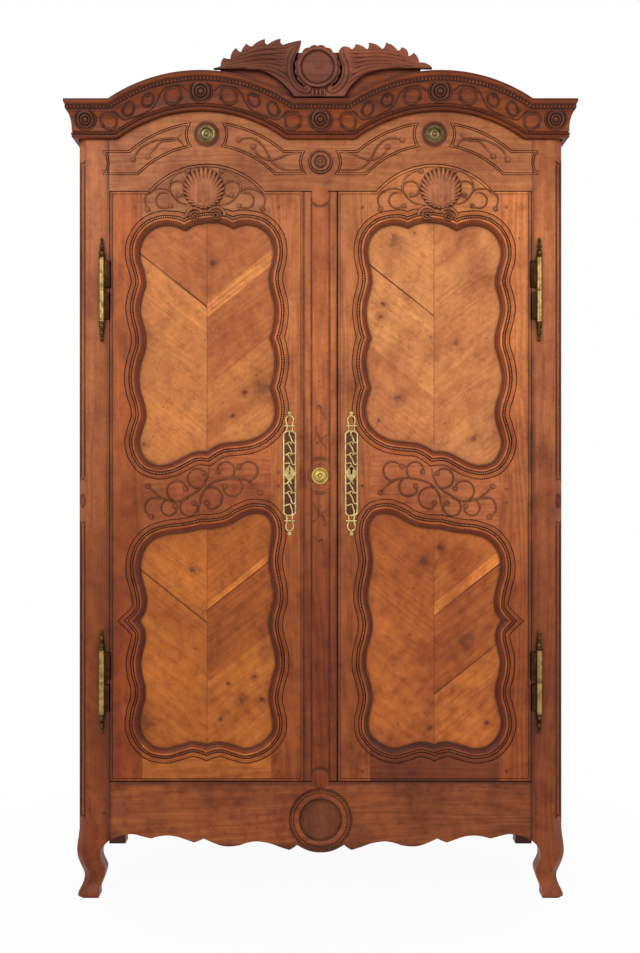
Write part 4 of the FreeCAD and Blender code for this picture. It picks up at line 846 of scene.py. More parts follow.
def mirrored(piece: Piece, name: str) -> Piece:
    """The same mesh on the other side of the armoire.

    Args:
        piece: The object to mirror.
        name: Name of the new object.

    Returns:
        The mirror image.
    """
    mesh = piece.data.copy()
    mesh.transform(Matrix.Scale(-1, 4, (1, 0, 0)))
    mesh.flip_normals()
    return linked(name, mesh)


def settle_both(piece: Piece, finish: Finish) -> None:
    """Settle a piece of the case and its mirror image.

    Args:
        piece: The finished piece, whose name ends in its side.
        finish: Finish that both wear.
    """
    stem, side = piece.name.rsplit("_", 1)
    other = mirrored(piece, f"{stem}_{'right' if side == 'left' else 'left'}")
    settle(piece, finish)
    settle(other, finish)


def dress_node(node: str, finish: Finish) -> None:
    """Give a solid that stays as it is its finish.

    Args:
        node: Name of the solid.
        finish: Finish that it wears.
    """
    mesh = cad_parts[node].data
    mesh.materials.clear()
    mesh.materials.append(finish.material())
    log.info("%s: kept with %s", node, finish.name)


def merged_copy(node: str) -> Piece:
    """Copy of a solid with its triangles joined and its flat faces whole.

    Args:
        node: Name of the solid.

    Returns:
        The copy.
    """
    piece = linked(node + "_worn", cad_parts[node].data.copy())
    pick(piece)
    bpy.ops.mesh.customdata_custom_splitnormals_clear()
    with editing(piece):
        bpy.ops.mesh.remove_doubles(threshold=2e-6)
        bpy.ops.mesh.select_all(action="DESELECT")
        bpy.ops.mesh.select_interior_faces()
        bpy.ops.mesh.delete(type="FACE")
        bpy.ops.mesh.select_all(action="SELECT")
        bpy.ops.mesh.dissolve_limited(angle_limit=math.radians(0.05))
    return piece


def worn_copy(node: str, finish: Finish, edge: float = 0.9, cutter: Piece | None = None,
              body: Body = Body.CASE) -> None:
    """Make a copy of a solid with softened edges that stands for it.

    Args:
        node: Name of the solid.
        finish: Finish that it wears.
        edge: Width of the softened edges in millimetres.
        cutter: Shape that is cut out of it.
        body: Body that it rides on.
    """
    piece = merged_copy(node)
    if edge:
        limit = math.radians(38)
        apply_modifier(piece, "BEVEL", width=edge * MM, segments=2, limit_method="ANGLE", angle_limit=limit)
    if cutter is not None:
        cut(piece, cutter)
    smooth(piece)
    apply_modifier(piece, "WEIGHTED_NORMAL", keep_sharp=True)
    settle(piece, finish, body, node)


def at(spot: Sequence[float], depth: float = 0.0) -> Matrix:
    """Move to a spot in millimetres on an upright plane, whose depth is in metres."""
    return Matrix.Translation((spot[0] * MM, depth, spot[1] * MM))


def on_plane(depth: float, aside: float = 0.0) -> Callable[[Spot], Vector]:
    """Placing of spots in millimetres on an upright plane, moved aside by so many."""
    return lambda spot: Vector(((spot[0] + aside) * MM, depth, spot[1] * MM))


def arc_spots(centre: Spot, radius: float, start: float, sweep: float, count: int = 9) -> Line:
    """Spots along an arc.

    Args:
        centre: Middle of the arc.
        radius: Its radius.
        start: Angle of the first spot in degrees from +X towards +Z.
        sweep: Degrees from the first spot to the last.
        count: Number of spots.

    Returns:
        The spots.
    """
    made = []
    for i in range(count):
        angle = math.radians(start + sweep * i / (count - 1))
        made.append((centre[0] + radius * math.cos(angle), centre[1] + radius * math.sin(angle)))
    return tuple(made)


def ring_spots(radius: float, count: int, centre: Spot = (0.0, 0.0)) -> Line:
    """Spots all round a circle."""
    return arc_spots(centre, radius, 0.0, 360 * (count - 1) / count, count)


def circle_meet(centre: Spot, radius: float, other: Spot, other_radius: float, way: int) -> Spot:
    """Where two circles cross.

    Args:
        centre: Middle of the first circle.
        radius: Its radius.
        other: Middle of the second circle.
        other_radius: Its radius.
        way: Side of the line between the middles, 1 or -1.

    Returns:
        The crossing on that side.
    """
    a, b = Vector(centre), Vector(other)
    apart = (b - a).length
    along = (radius ** 2 - other_radius ** 2 + apart ** 2) / (2 * apart)
    beside = math.sqrt(max(0.0, radius ** 2 - along ** 2))
    ahead = (b - a) / apart
    spot = a + ahead * along + Vector((-ahead.y, ahead.x)) * beside * way
    return (spot.x, spot.y)


def evenly(points: Sequence[Vector], pitch: float) -> list[Vector]:
    """Spots at a steady distance along a closed line.

    Args:
        points: Points of the line.
        pitch: Distance between spots, rounded to fit.

    Returns:
        The spots.
    """
    loop = list(points) + [points[0]]
    lengths = [(b - a).length for a, b in zip(loop, loop[1:])]
    count = round(sum(lengths) / pitch)
    step = sum(lengths) / count
    made, done, i = [], 0.0, 0
    for k in range(count):
        target = k * step
        while i < len(lengths) - 1 and done + lengths[i] < target:
            done += lengths[i]
            i += 1
        share = (target - done) / lengths[i] if lengths[i] else 0.0
        made.append(loop[i].lerp(loop[i + 1], share))
    return made


@dataclass(frozen=True)
class Stem:
    """Carved line: spots that it runs through, half its width, and the share of it left at the ends."""

    spots: Line
    half: float
    tip: float = 0.6
    closed: bool = False
    straight: bool = False


def as_mesh(name: str, curve: bpy.types.Curve) -> Piece:
    """A curve turned into a mesh object.

    Args:
        name: Its name.
        curve: The curve.

    Returns:
        The mesh object.
    """
    pick(linked(name, curve))
    bpy.ops.object.convert(target="MESH")
    return bpy.context.object


def carved_lines(name: str, stems: Iterable[Stem], place: Callable[[Spot], Vector], sides: int = 1) -> Piece:
    """Round stems along smooth lines, as one mesh.

    Args:
        name: Its name.
        stems: Lines to carve.
        place: Turns a spot into a point in space.
        sides: Roundness of the stems.

    Returns:
        The mesh object.
    """
    curve = bpy.data.curves.new(name, "CURVE")
    curve.dimensions = "3D"
    curve.bevel_depth = 1.0
    curve.bevel_resolution = sides
    curve.resolution_u = 4
    curve.use_fill_caps = True
    for stem in stems:
        spline = curve.splines.new("BEZIER")
        spline.bezier_points.add(len(stem.spots) - 1)
        spline.use_cyclic_u = stem.closed
        for i, (point, spot) in enumerate(zip(spline.bezier_points, stem.spots)):
            point.co = place(spot)
            at_end = not stem.closed and i in (0, len(stem.spots) - 1)
            point.radius = stem.half * (stem.tip if at_end else 1.0)
        for point in spline.bezier_points:
            point.handle_left_type = point.handle_right_type = "VECTOR" if stem.straight else "AUTO"
    piece = as_mesh(name, curve)
    smooth(piece, 60)
    return piece


def pressed(piece: Piece, plane: float, share: float) -> Piece:
    """Flatten a carving towards the plane that it lies on.

    Args:
        piece: The carving.
        plane: Depth of the plane.
        share: Share of its height that is left.

    Returns:
        The carving.
    """
    for vertex in piece.data.vertices:
        vertex.co.y = plane + (vertex.co.y - plane) * share
    return piece


def tube_loop(name: str, spots: Sequence[Spot], radius: float) -> Piece:
    """Thin straight-sided tube along a closed line on the front plane.

    Args:
        name: Its name.
        spots: Spots of the line in millimetres.
        radius: Radius of the tube in millimetres.

    Returns:
        The tube, twice as deep as it is wide.
    """
    curve = bpy.data.curves.new(name, "CURVE")
    curve.dimensions = "3D"
    curve.bevel_depth = radius * MM
    curve.bevel_resolution = 0
    kept = [spots[0]]
    for spot in spots[1:]:
        if math.dist(spot, kept[-1]) > 0.1:
            kept.append(spot)
    if math.dist(kept[0], kept[-1]) < 0.1:
        kept.pop()
    spline = curve.splines.new("POLY")
    spline.points.add(len(kept) - 1)
    spline.use_cyclic_u = True
    for point, (x, z) in zip(spline.points, kept):
        point.co = (x * MM, FRONT, z * MM, 1.0)
    return pressed(as_mesh(name, curve), FRONT, 2.0)


def lathe(name: str, profile: Sequence[Spot], segments: int, wide: float = MM,
          tall: float | None = None) -> Piece:
    """Turned shape at the origin whose axis points out of the front.

    Args:
        name: Its name.
        profile: Radius and rise of each ring from the rim to the middle.
        segments: Faces around it.
        wide: Length that the radii are given in.
        tall: Length that the rises are given in, the same unless given.

    Returns:
        The mesh object, closed at its back.
    """
    tall = wide if tall is None else tall
    rings = [(max(r * wide, 1e-5), rise * tall) for r, rise in profile]
    radius, level = rings[0]
    clear()
    bpy.ops.mesh.primitive_circle_add(vertices=segments, radius=radius, fill_type="NGON", rotation=FACE_ON)
    piece = added(name)
    with editing(piece):
        bpy.ops.transform.translate(value=(0, -level, 0))
        for new_radius, new_level in rings[1:]:
            bpy.ops.mesh.extrude_region_move(TRANSFORM_OT_translate={"value": (0, level - new_level, 0)})
            ratio = new_radius / radius
            bpy.ops.transform.resize(value=(ratio, 1, ratio), center_override=(0, 0, 0))
            radius, level = new_radius, new_level
        bpy.ops.mesh.merge(type="COLLAPSE")
    outward(piece)
    smooth(piece, 40)
    return piece


def half_bead(name: str, radius: float) -> Piece:
    """Bead at the origin, cut off behind the plane that it sits on.

    Args:
        name: Its name.
        radius: Radius of the bead in millimetres.

    Returns:
        The mesh object.
    """
    clear()
    bpy.ops.mesh.primitive_uv_sphere_add(segments=8, ring_count=6, radius=radius * MM, rotation=FACE_ON)
    piece = added(name)
    with editing(piece):
        cut_at = (0, 0.25 * radius * MM, 0)
        bpy.ops.mesh.bisect(plane_co=cut_at, plane_no=(0, 1, 0), use_fill=True, clear_outer=True)
    outward(piece)
    smooth(piece, 60)
    return piece


def as_piece(name: str, build: bmesh.types.BMesh) -> Piece:
    """A mesh under construction as an object.

    Args:
        name: Its name.
        build: The mesh, which is freed.

    Returns:
        The mesh object.
    """
    mesh = bpy.data.meshes.new(name)
    build.to_mesh(mesh)
    build.free()
    return linked(name, mesh)


def scattered(name: str, base: Piece, places: Iterable[Matrix]) -> Piece:
    """One mesh with a copy of a small shape at each place.

    Args:
        name: Its name.
        base: The small shape.
        places: Where the copies stand.

    Returns:
        The mesh object.
    """
    build = bmesh.new()
    for place in places:
        start = len(build.verts)
        build.from_mesh(base.data)
        build.verts.ensure_lookup_table()
        bmesh.ops.transform(build, matrix=place, verts=build.verts[start:])
    return as_piece(name, build)


def discard(*pieces: Piece) -> None:
    """Remove shapes that only helped to make others."""
    for piece in pieces:
        bpy.data.objects.remove(piece)


def joined(name: str, *pieces: Piece) -> Piece:
    """Several meshes as one object.

    Args:
        name: Its name.
        *pieces: The meshes.

    Returns:
        The object.
    """
    pick(pieces[0])
    for piece in pieces:
        piece.select_set(True)
    bpy.ops.object.join()
    bpy.context.object.name = name
    return bpy.context.object


class PanelLine:
    """Closed line round a door panel, made of smooth runs between cusps, that can be widened evenly."""

    def __init__(self, runs: Sequence[Line], low: Spot, size: Spot) -> None:
        """Scale runs to a panel.

        Args:
            runs: Smooth runs in thousandths of the panel's size.
            low: Lowest corner of the panel.
            size: Size of the panel.
        """
        u, v = size[0] / 1000, size[1] / 1000
        self.runs = [[Vector((low[0] + a * u, low[1] + b * v)) for a, b in run] for run in runs]
        self.spans = [[(b - a).length for a, b in zip(run, run[1:])] for run in self.runs]
        self.normals = []
        for run, spans in zip(self.runs, self.spans):
            leads = self.slopes(run, spans)
            self.normals.append([Vector((-lead.y, lead.x)).normalized() for lead in leads])

    @staticmethod
    def slopes(points: Sequence[Vector], spans: Sequence[float]) -> list[Vector]:
        """Direction of a smooth run at each of its points.

        Args:
            points: Points of the run.
            spans: Distances between them.

        Returns:
            The directions.
        """
        steps = [(b - a) / span for a, b, span in zip(points, points[1:], spans)]
        inner = []
        for i in range(1, len(points) - 1):
            inner.append((steps[i - 1] * spans[i] + steps[i] * spans[i - 1]) / (spans[i - 1] + spans[i]))

        def bounced(chord: Vector, slope: Vector) -> Vector:
            """Slope mirrored over a chord."""
            return chord * (2 * chord.dot(slope) / chord.dot(chord)) - slope

        first = bounced(points[1] - points[0], inner[0])
        last = bounced(points[-1] - points[-2], inner[-1])
        return [first] + inner + [last]

    def widened(self, offset: float, steps: int = 6) -> list[Vector]:
        """Points of the line at a distance outside it.

        Args:
            offset: The distance.
            steps: Points for each span.

        Returns:
            The points.
        """
        moved = [[p + n * offset for p, n in zip(*pair)] for pair in zip(self.runs, self.normals)]
        for i in range(len(moved)):
            j = (i + 1) % len(moved)
            a, b = self.normals[i][-1], self.normals[j][0]
            moved[i][-1] = moved[j][0] = self.runs[j][0] + (a + b) * (offset / (1 + a.dot(b)))
        line = []
        for points, spans in zip(moved, self.spans):
            leads = self.slopes(points, spans)
            for i, span in enumerate(spans):
                a, d = points[i], points[i + 1]
                b, c = a + leads[i] * span / 3, d - leads[i + 1] * span / 3
                for k in range(steps):
                    t = k / steps
                    s = 1 - t
                    line.append(a * s ** 3 + b * 3 * s * s * t + c * 3 * s * t * t + d * t ** 3)
        return line


@dataclass(frozen=True)
class Curl:
    """Tendril that winds once round a middle to a bud: the angle where it starts and the way it turns."""

    centre: Spot
    radius: float
    bud: Spot
    start: float
    way: int

    def spots(self) -> Line:
        """Spots from its stem round to its bud.

        Returns:
            The spots.
        """
        end = math.degrees(math.atan2(self.bud[1] - self.centre[1], self.bud[0] - self.centre[0]))
        sweep = ((end - self.start) * self.way) % 360 * self.way
        return (*arc_spots(self.centre, self.radius, self.start, sweep * 0.9), self.bud)


@dataclass
class Vine:
    """Carved vine: its stems and curls in millimetres, with a bud at the end of each."""

    stems: tuple[Line, ...]
    curls: tuple[Curl, ...] = ()
    half: float = 2.6
    bud: float = 7.0
    relief: float = 0.95

    def build(self, name: str, place: Callable[[Spot], Vector], plane: float) -> Piece:
        """Carve the vine.

        Args:
            name: Its name.
            place: Turns a spot in millimetres into a point in space.
            plane: Level of the face that it lies on.

        Returns:
            The vine as one mesh.
        """
        lines = [Stem(spots, self.half * MM, 0.55) for spots in self.stems]
        lines += [Stem(curl.spots(), 0.9 * self.half * MM, 0.7) for curl in self.curls]
        vine = carved_lines(name, lines, place)
        base = bud_shape(self.bud)
        ends = [spots[-1] for spots in self.stems] + [curl.bud for curl in self.curls]
        buds = scattered(name + "_buds", base, [Matrix.Translation(place(end)) for end in ends])
        discard(base)
        smooth(buds, 50)
        return pressed(joined(name, vine, buds), plane, self.relief)


def bud_shape(radius: float) -> Piece:
    """Round bud with a ring and a pip, at the origin, its radius in millimetres."""
    profile = [(1.0, -0.2), (1.0, 0.25), (0.86, 0.5), (0.62, 0.46), (0.5, 0.62), (0.28, 0.82), (0.0, 0.86)]
    return lathe("bud", profile, 12, radius * MM)


def rosette(name: str, radius: float, petals: int, rise: float) -> Piece:
    """Carved flower at the origin: rim, ring of petals and a boss in the middle.

    Args:
        name: Its name.
        radius: Radius of its rim.
        petals: Number of petals.
        rise: Height of the relief.

    Returns:
        The mesh object.
    """
    rings = [(1.0, -0.5), (1.0, 0.35), (0.93, 0.62), (0.86, 0.5), (0.80, 0.15), (0.70, 0.62), (0.56, 0.82),
             (0.44, 0.6), (0.36, 0.2), (0.30, 0.7), (0.18, 1.0), (0.0, 1.05)]
    piece = lathe(name, rings, petals * 6, radius, rise)
    for vertex in piece.data.vertices:
        away = math.hypot(vertex.co.x, vertex.co.z) / radius
        if 0.4 < away < 0.78:
            wave = abs(math.cos(petals * math.atan2(vertex.co.z, vertex.co.x) / 2))
            vertex.co.y *= 0.25 + 0.75 * wave ** 0.6
    smooth(piece, 50)
    return piece


def punched_disc(name: str, radius: float, rise: float, pitch: float) -> Piece:
    """Low dome at the origin whose face is cut into small diamonds.

    Args:
        name: Its name.
        radius: Radius of its rim.
        rise: Height of its middle.
        pitch: Size of the diamonds.

    Returns:
        The mesh object.
    """
    count = round(radius / pitch * 3)
    rings = [(radius, -rise)] + [(radius * (1 - k / count), rise * 0.6) for k in range(count)] + [(0.0, rise)]
    piece = lathe(name, rings, 96, 1.0)
    for vertex in piece.data.vertices:
        if vertex.co.y < 0:
            u, v = vertex.co.x + vertex.co.z, vertex.co.x - vertex.co.z
            wave = math.cos(math.pi * u / pitch) * math.cos(math.pi * v / pitch)
            vertex.co.y -= 0.9 * rise * max(-0.2, wave)
    smooth(piece, 50)
    return piece


# Sub-assemblies


@dataclass
class Studio:
    """Camera, soft light and pale floor."""

    away: float = 3.2
    camera_height: float = 1.1802
    camera_side: float = -0.0014
    lens: float = 43.174
    floor_size: float = 16.0
    sky: float = 0.40
    lamps: tuple[tuple[Vector, float, float], ...] = (
        (Vector((-2.3, -4.3, 3.6)), 2.4, 100.0),
        (Vector((2.9, -4.4, 2.4)), 2.6, 62.0),
        (Vector((0.5, 3.8, 3.4)), 3.0, 62.0),
    )

    def build(self) -> None:
        """Set up everything that isn't the armoire."""
        self.camera()
        self.light()
        self.floor()
        bpy.context.scene.view_settings.view_transform = "Standard"

    def camera(self) -> None:
        """Camera straight in front, at the photograph's framing."""
        view = bpy.data.cameras.new("camera")
        view.sensor_width = 36.0
        view.lens = self.lens
        piece = linked("camera", view)
        piece.location = (self.camera_side, FRONT - self.away, self.camera_height)
        piece.rotation_euler = FACE_ON
        bpy.context.scene.camera = piece

    def light(self) -> None:
        """Soft lamps and an even sky, white where it is seen directly."""
        for i, (place, size, power) in enumerate(self.lamps):
            lamp = bpy.data.lights.new(f"lamp_{i}", "AREA")
            lamp.size = size
            lamp.energy = power
            piece = linked(lamp.name, lamp)
            piece.location = place
            piece.rotation_euler = (Vector((0, 0, 1.15)) - place).to_track_quat("-Z", "Y").to_euler()
        world = bpy.data.worlds.new("sky")
        world.use_nodes = True
        bpy.context.scene.world = world
        g = Graph(world.node_tree)
        lit = g.add("ShaderNodeBackground", {0: shade(WHITE), 1: self.sky})
        white = g.add("ShaderNodeBackground", {0: shade(WHITE), 1: 1.0})
        both = g.add("ShaderNodeMixShader", {0: self.seen(g), 1: lit.outputs[0], 2: white.outputs[0]})
        g.add("ShaderNodeOutputWorld", {0: both.outputs[0]})

    @staticmethod
    def seen(g: Graph) -> Socket:
        """One where a ray comes straight, mirrored or through glass from the camera.

        Args:
            g: Graph of the world or the floor.

        Returns:
            The output.
        """
        rays = g.add("ShaderNodeLightPath").outputs
        mirrored_rays = g.math("MAXIMUM", rays["Is Glossy Ray"], rays["Is Transmission Ray"])
        return g.math("MAXIMUM", rays["Is Camera Ray"], mirrored_rays)

    def floor(self) -> None:
        """Pale floor that keeps the shadow and fades to white further out."""
        clear()
        bpy.ops.mesh.primitive_plane_add(size=self.floor_size)
        piece = added("floor")
        paint = bpy.data.materials.new("pale_floor")
        paint.use_nodes = True
        g = Graph(paint.node_tree)
        glow = g.times(g.remap(g.length(g.place()), 0.45, 1.4, 0.94, 1.0), self.seen(g))
        matt = g.add("ShaderNodeBsdfDiffuse", {0: shade(rgb(236, 235, 233))})
        white = g.add("ShaderNodeEmission", {0: shade(WHITE), 1: 1.0})
        both = g.add("ShaderNodeMixShader", {0: glow, 1: matt.outputs[0], 2: white.outputs[0]})
        g.add("ShaderNodeOutputMaterial", {0: both.outputs[0]})
        piece.data.materials.append(paint)


@dataclass
class Frieze:
    """Carving between the door heads and the cornice: incised frames, sprays, rings and the middle flower."""

    door_place: float = 319.0
    head_middle: float = 1843.0
    lower_radius: float = 264.0
    upper_radius: float = 331.0
    lower_level: float = 2025.0
    upper_level: float = 2093.0
    boss: Spot = (-319.0, 2139.0)
    boss_clear: float = 54.0
    flower: Spot = (0.0, 2061.0)
    flower_clear: float = 53.0
    post_clear: Spot = (-650.0, 2058.0)
    flower_radius: float = 34.0
    ring_radius: float = 30.5
    line: float = 1.45
    second: float = 5.5
    outer_sprays: tuple[Line, ...] = (
        ((-60, 2100), (-78, 2122), (-121, 2125), (-169, 2110), (-193, 2091), (-205, 2067)),
        ((-70, 2139), (-92, 2122), (-126, 2117), (-148, 2096), (-165, 2076)),
    )
    inner_sprays: tuple[Line, ...] = (
        ((262, 2038), (216, 2040), (187, 2057), (175, 2076), (154, 2110), (125, 2127), (90, 2123)),
        ((258, 2088), (226, 2081), (187, 2067), (163, 2069), (139, 2086), (131, 2103)),
    )

    def frame_line(self, outer: bool, inset: float) -> Line:
        """Closed line of one incised frame of the left half.

        Args:
            outer: Whether it is the frame beside the post, or the one beside the middle flower.
            inset: How far inside the frame the line runs.

        Returns:
            Its spots in millimetres.
        """
        way = -1 if outer else 1
        middle = (-self.door_place, self.head_middle)
        low_r, high_r = self.lower_radius + inset, self.upper_radius - inset
        low_z, high_z = self.lower_level + inset, self.upper_level - inset
        ring = self.boss_clear + inset
        end = self.post_clear if outer else self.flower
        clear_r = self.flower_clear + inset
        low_turn = (middle[0] + way * math.sqrt(low_r ** 2 - (low_z - middle[1]) ** 2), low_z)
        high_turn = (middle[0] + way * math.sqrt(high_r ** 2 - (high_z - middle[1]) ** 2), high_z)
        low_boss = circle_meet(middle, low_r, self.boss, ring, -way)
        high_boss = circle_meet(middle, high_r, self.boss, ring, -way)
        low_end = (end[0] - way * math.sqrt(clear_r ** 2 - (low_z - end[1]) ** 2), low_z)
        high_end = (end[0] - way * math.sqrt(clear_r ** 2 - (high_z - end[1]) ** 2), high_z)
        return (*self.between(middle, low_r, low_boss, low_turn),
                *self.between(end, clear_r, low_end, high_end),
                *self.between(middle, high_r, high_turn, high_boss),
                *self.between(self.boss, ring, high_boss, low_boss))

    @staticmethod
    def between(centre: Spot, radius: float, first: Spot, last: Spot) -> Line:
        """Spots along the shorter arc from one spot to another.

        Args:
            centre: Middle of the arc.
            radius: Its radius.
            first: Where it starts.
            last: Where it ends.

        Returns:
            The spots.
        """
        a = math.degrees(math.atan2(first[1] - centre[1], first[0] - centre[0]))
        b = math.degrees(math.atan2(last[1] - centre[1], last[0] - centre[0]))
        return arc_spots(centre, radius, a, (b - a + 180) % 360 - 180)

    def cutter(self) -> Piece:
        """Thin tubes along all the frame lines, to cut them out of the rail and the posts.

        Returns:
            The tubes as one mesh.
        """
        loops = []
        for outer in (True, False):
            for inset in (0.0, self.second):
                spots = self.frame_line(outer, inset)
                loops += [spots, tuple((-x, z) for x, z in spots)]
        tubes = [tube_loop(f"frame_line_{i}", spots, self.line) for i, spots in enumerate(loops)]
        return joined("frame_lines", *tubes)

    def build(self) -> None:
        """Carve the sprays, the rings round the brass bosses and the middle flower."""
        vine = Vine(self.outer_sprays + self.inner_sprays, half=2.8, bud=7.4)
        settle_both(vine.build("frieze_sprays_left", on_plane(FRONT, -self.door_place), FRONT), CARVED)
        dark = replace(CARVED, name="dark_frieze_ring", tone=(0.52, 0.46, 0.46))
        ground = lathe("boss_ground", [(36, -0.4), (36, 1.0), (35, 1.7), (0.0, 1.7)], 48)
        bead = half_bead("boss_bead", 2.9)
        rim = scattered("boss_rim", bead, [at(spot, -1.5 * MM) for spot in ring_spots(self.ring_radius, 34)])
        discard(bead)
        ring = joined("frieze_ring_left", ground, rim)
        ring.data.transform(at(self.boss, FRONT))
        settle_both(ring, dark)
        turned = [(1.0, -0.1), (1.0, 0.08), (0.95, 0.14), (0.89, 0.12), (0.85, 0.03), (0.79, 0.03),
                  (0.75, 0.13), (0.64, 0.16), (0.55, 0.12), (0.52, 0.04), (0.47, 0.05), (0.43, 0.12),
                  (0.0, 0.13)]
        size = self.flower_radius * MM
        flower = lathe("frieze_flower", turned, 48, size)
        inner = rosette("inner_flower", 0.40 * size, 6, 3.0 * MM)
        inner.data.transform(at((0.0, 0.0), -0.12 * size))
        flower = joined("frieze_flower", flower, inner)
        flower.data.transform(at(self.flower, FRONT))
        settle(flower, replace(dark, name="dark_frieze_flower", tone=(0.72, 0.66, 0.66)))


@dataclass
class Case:
    """Posts, rails, sides, back and inside of the armoire."""

    medallion: Spot = (0.0, 219.0)
    rope_radius: float = 84.0
    rope_strands: int = 68
    pearl_radius: float = 56.5
    pearls: int = 58
    centre_radius: float = 49.0
    knot_level: float = 1112.0
    knot_size: Spot = (13.5, 20.0)
    chamfer_face: Spot = (-668.0, -234.0)
    strip_arcs: tuple[tuple[float, int], ...] = ((1151.0, 1), (1073.0, -1), (205.0, 1), (2083.0, -1))
    strip_spans: Line = ((232.0, 1044.0), (1180.0, 2052.0))

    def build(self, frieze: Frieze) -> None:
        """Build and dress the whole case.

        Args:
            frieze: Carving whose lines are cut into the posts and the top rail.
        """
        lines = frieze.cutter()
        worn_copy("left_front_post", POST, 1.4, lines)
        right = replace(POST, name="waxed_post_right", shift=(0.2, 0.6, 0.3))
        worn_copy("right_front_post", right, 1.4, lines)
        worn_copy("front_top_rail", HEAD, 0.9, lines)
        discard(lines)
        worn_copy("front_bottom_rail", APRON, 1.2)
        for side in Side:
            worn_copy(f"{side.word}_rear_post", REAR)
            for level in ("top", "middle", "bottom"):
                worn_copy(f"{side.word}_side_{level}_rail", SIDE_BOARD)
            for level in ("lower", "upper"):
                finish = replace(POST, name=f"waxed_{side.word}_{level}_side", shift=(0.3, 0.9, 0.2))
                worn_copy(f"{side.word}_side_{level}_panel", finish, 0.6)
        for node in ("rear_top_rail", "rear_bottom_rail", "floor_boards", "shelves"):
            worn_copy(node, INNER)
        for node in ("shelf_cleats", "top_boards"):
            worn_copy(node, replace(INNER, name="bare_deep", grain=Grain.DEEP))
        worn_copy("back_boards", BACK)
        dress_node("frame_pegs", PEG)
        dress_node("frieze_bosses", BOSS_BRASS)
        self.apron_medallion()
        self.post_carving()

    def apron_medallion(self) -> None:
        """Rope, pearls and a punched middle on the round boss of the apron."""
        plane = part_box("front_bottom_rail")[0].y
        bead = half_bead("rope_bead", 3.1)
        strands = []
        for i, spot in enumerate(ring_spots(self.rope_radius, self.rope_strands, self.medallion)):
            turn = Matrix.Rotation(0.75 - 2 * math.pi * i / self.rope_strands, 4, "Y")
            strands.append(at(spot, plane + 2.6 * MM) @ turn @ Matrix.Diagonal((1.75, 0.9, 0.8, 1.0)))
        narrow = Matrix.Diagonal((0.9, 1.0, 0.9, 1.0))
        spots = ring_spots(self.pearl_radius, self.pearls, self.medallion)
        rope = scattered("apron_rope", bead, strands)
        ring = scattered("apron_pearls", bead, [at(spot, plane + 4.0 * MM) @ narrow for spot in spots])
        discard(bead)
        middle = punched_disc("apron_middle", self.centre_radius * MM, 1.6 * MM, 6.5 * MM)
        middle.data.transform(at(self.medallion, plane + 2.2 * MM))
        whole = joined("apron_medallion", rope, ring, middle)
        smooth(whole, 60)
        settle(whole, replace(CARVED, name="waxed_medallion", dark=rgb(124, 72, 47), middle=rgb(153, 93, 59),
                              light=rgb(174, 110, 70), figure=0.1, bands=5.0, outline=0.4))

    @property
    def corner_turn(self) -> Matrix:
        """Turn from the front to the cut corner of the left post."""
        return Matrix.Rotation(math.radians(-45), 4, "Z")

    def on_corner(self, spot: Spot) -> Vector:
        """Point on the left post's cut corner, from millimetres beside its middle and above the floor."""
        x, y = self.chamfer_face
        return Vector((x * MM, y * MM, spot[1] * MM)) + self.corner_turn @ Vector((spot[0] * MM, 0, 0))

    def post_carving(self) -> None:
        """Round knot between the sunk strips of the cut corners, the arcs that end the strips, and dark lines
        of painted shadow along them.
        """
        rings = [(1.0, -0.1), (1.0, 0.12), (0.92, 0.18), (0.84, 0.08), (0.78, 0.05), (0.70, 0.16),
                 (0.58, 0.18), (0.50, 0.07), (0.40, 0.08), (0.26, 0.22), (0.0, 0.26)]
        wide, high = self.knot_size
        knot = lathe("corner_knot", rings, 24, wide * MM, 13 * MM)
        middle = Matrix.Translation(self.on_corner((0.0, self.knot_level)))
        knot.data.transform(middle @ self.corner_turn @ Matrix.Diagonal((1.0, 1.0, high / wide, 1.0)))
        arcs = [Stem(arc_spots((0.0, level), 22.0, 90 * way - 41, 82, 7), 1.5 * MM, 0.9)
                for level, way in self.strip_arcs]
        # Dark rods along the edges of the sunk strips: painted shadow of the strips' edges.
        sides = [Stem(((u, low), (u, top)), 0.8 * MM, 1.0, straight=True)
                 for low, top in self.strip_spans for u in (-10.0, 8.0, 13.0)]
        lines = carved_lines("corner_lines_left", sides, self.on_corner)
        settle_both(lines, replace(POST, name="dark_corner_line", tone=(0.30, 0.24, 0.22)))
        left = joined("corner_knot_left", knot, carved_lines("corner_arcs", arcs, self.on_corner))
        finish = replace(POST, name="waxed_corner_carving", groove_depth=0.004, tone=(0.55, 0.46, 0.42))
        settle_both(left, finish)


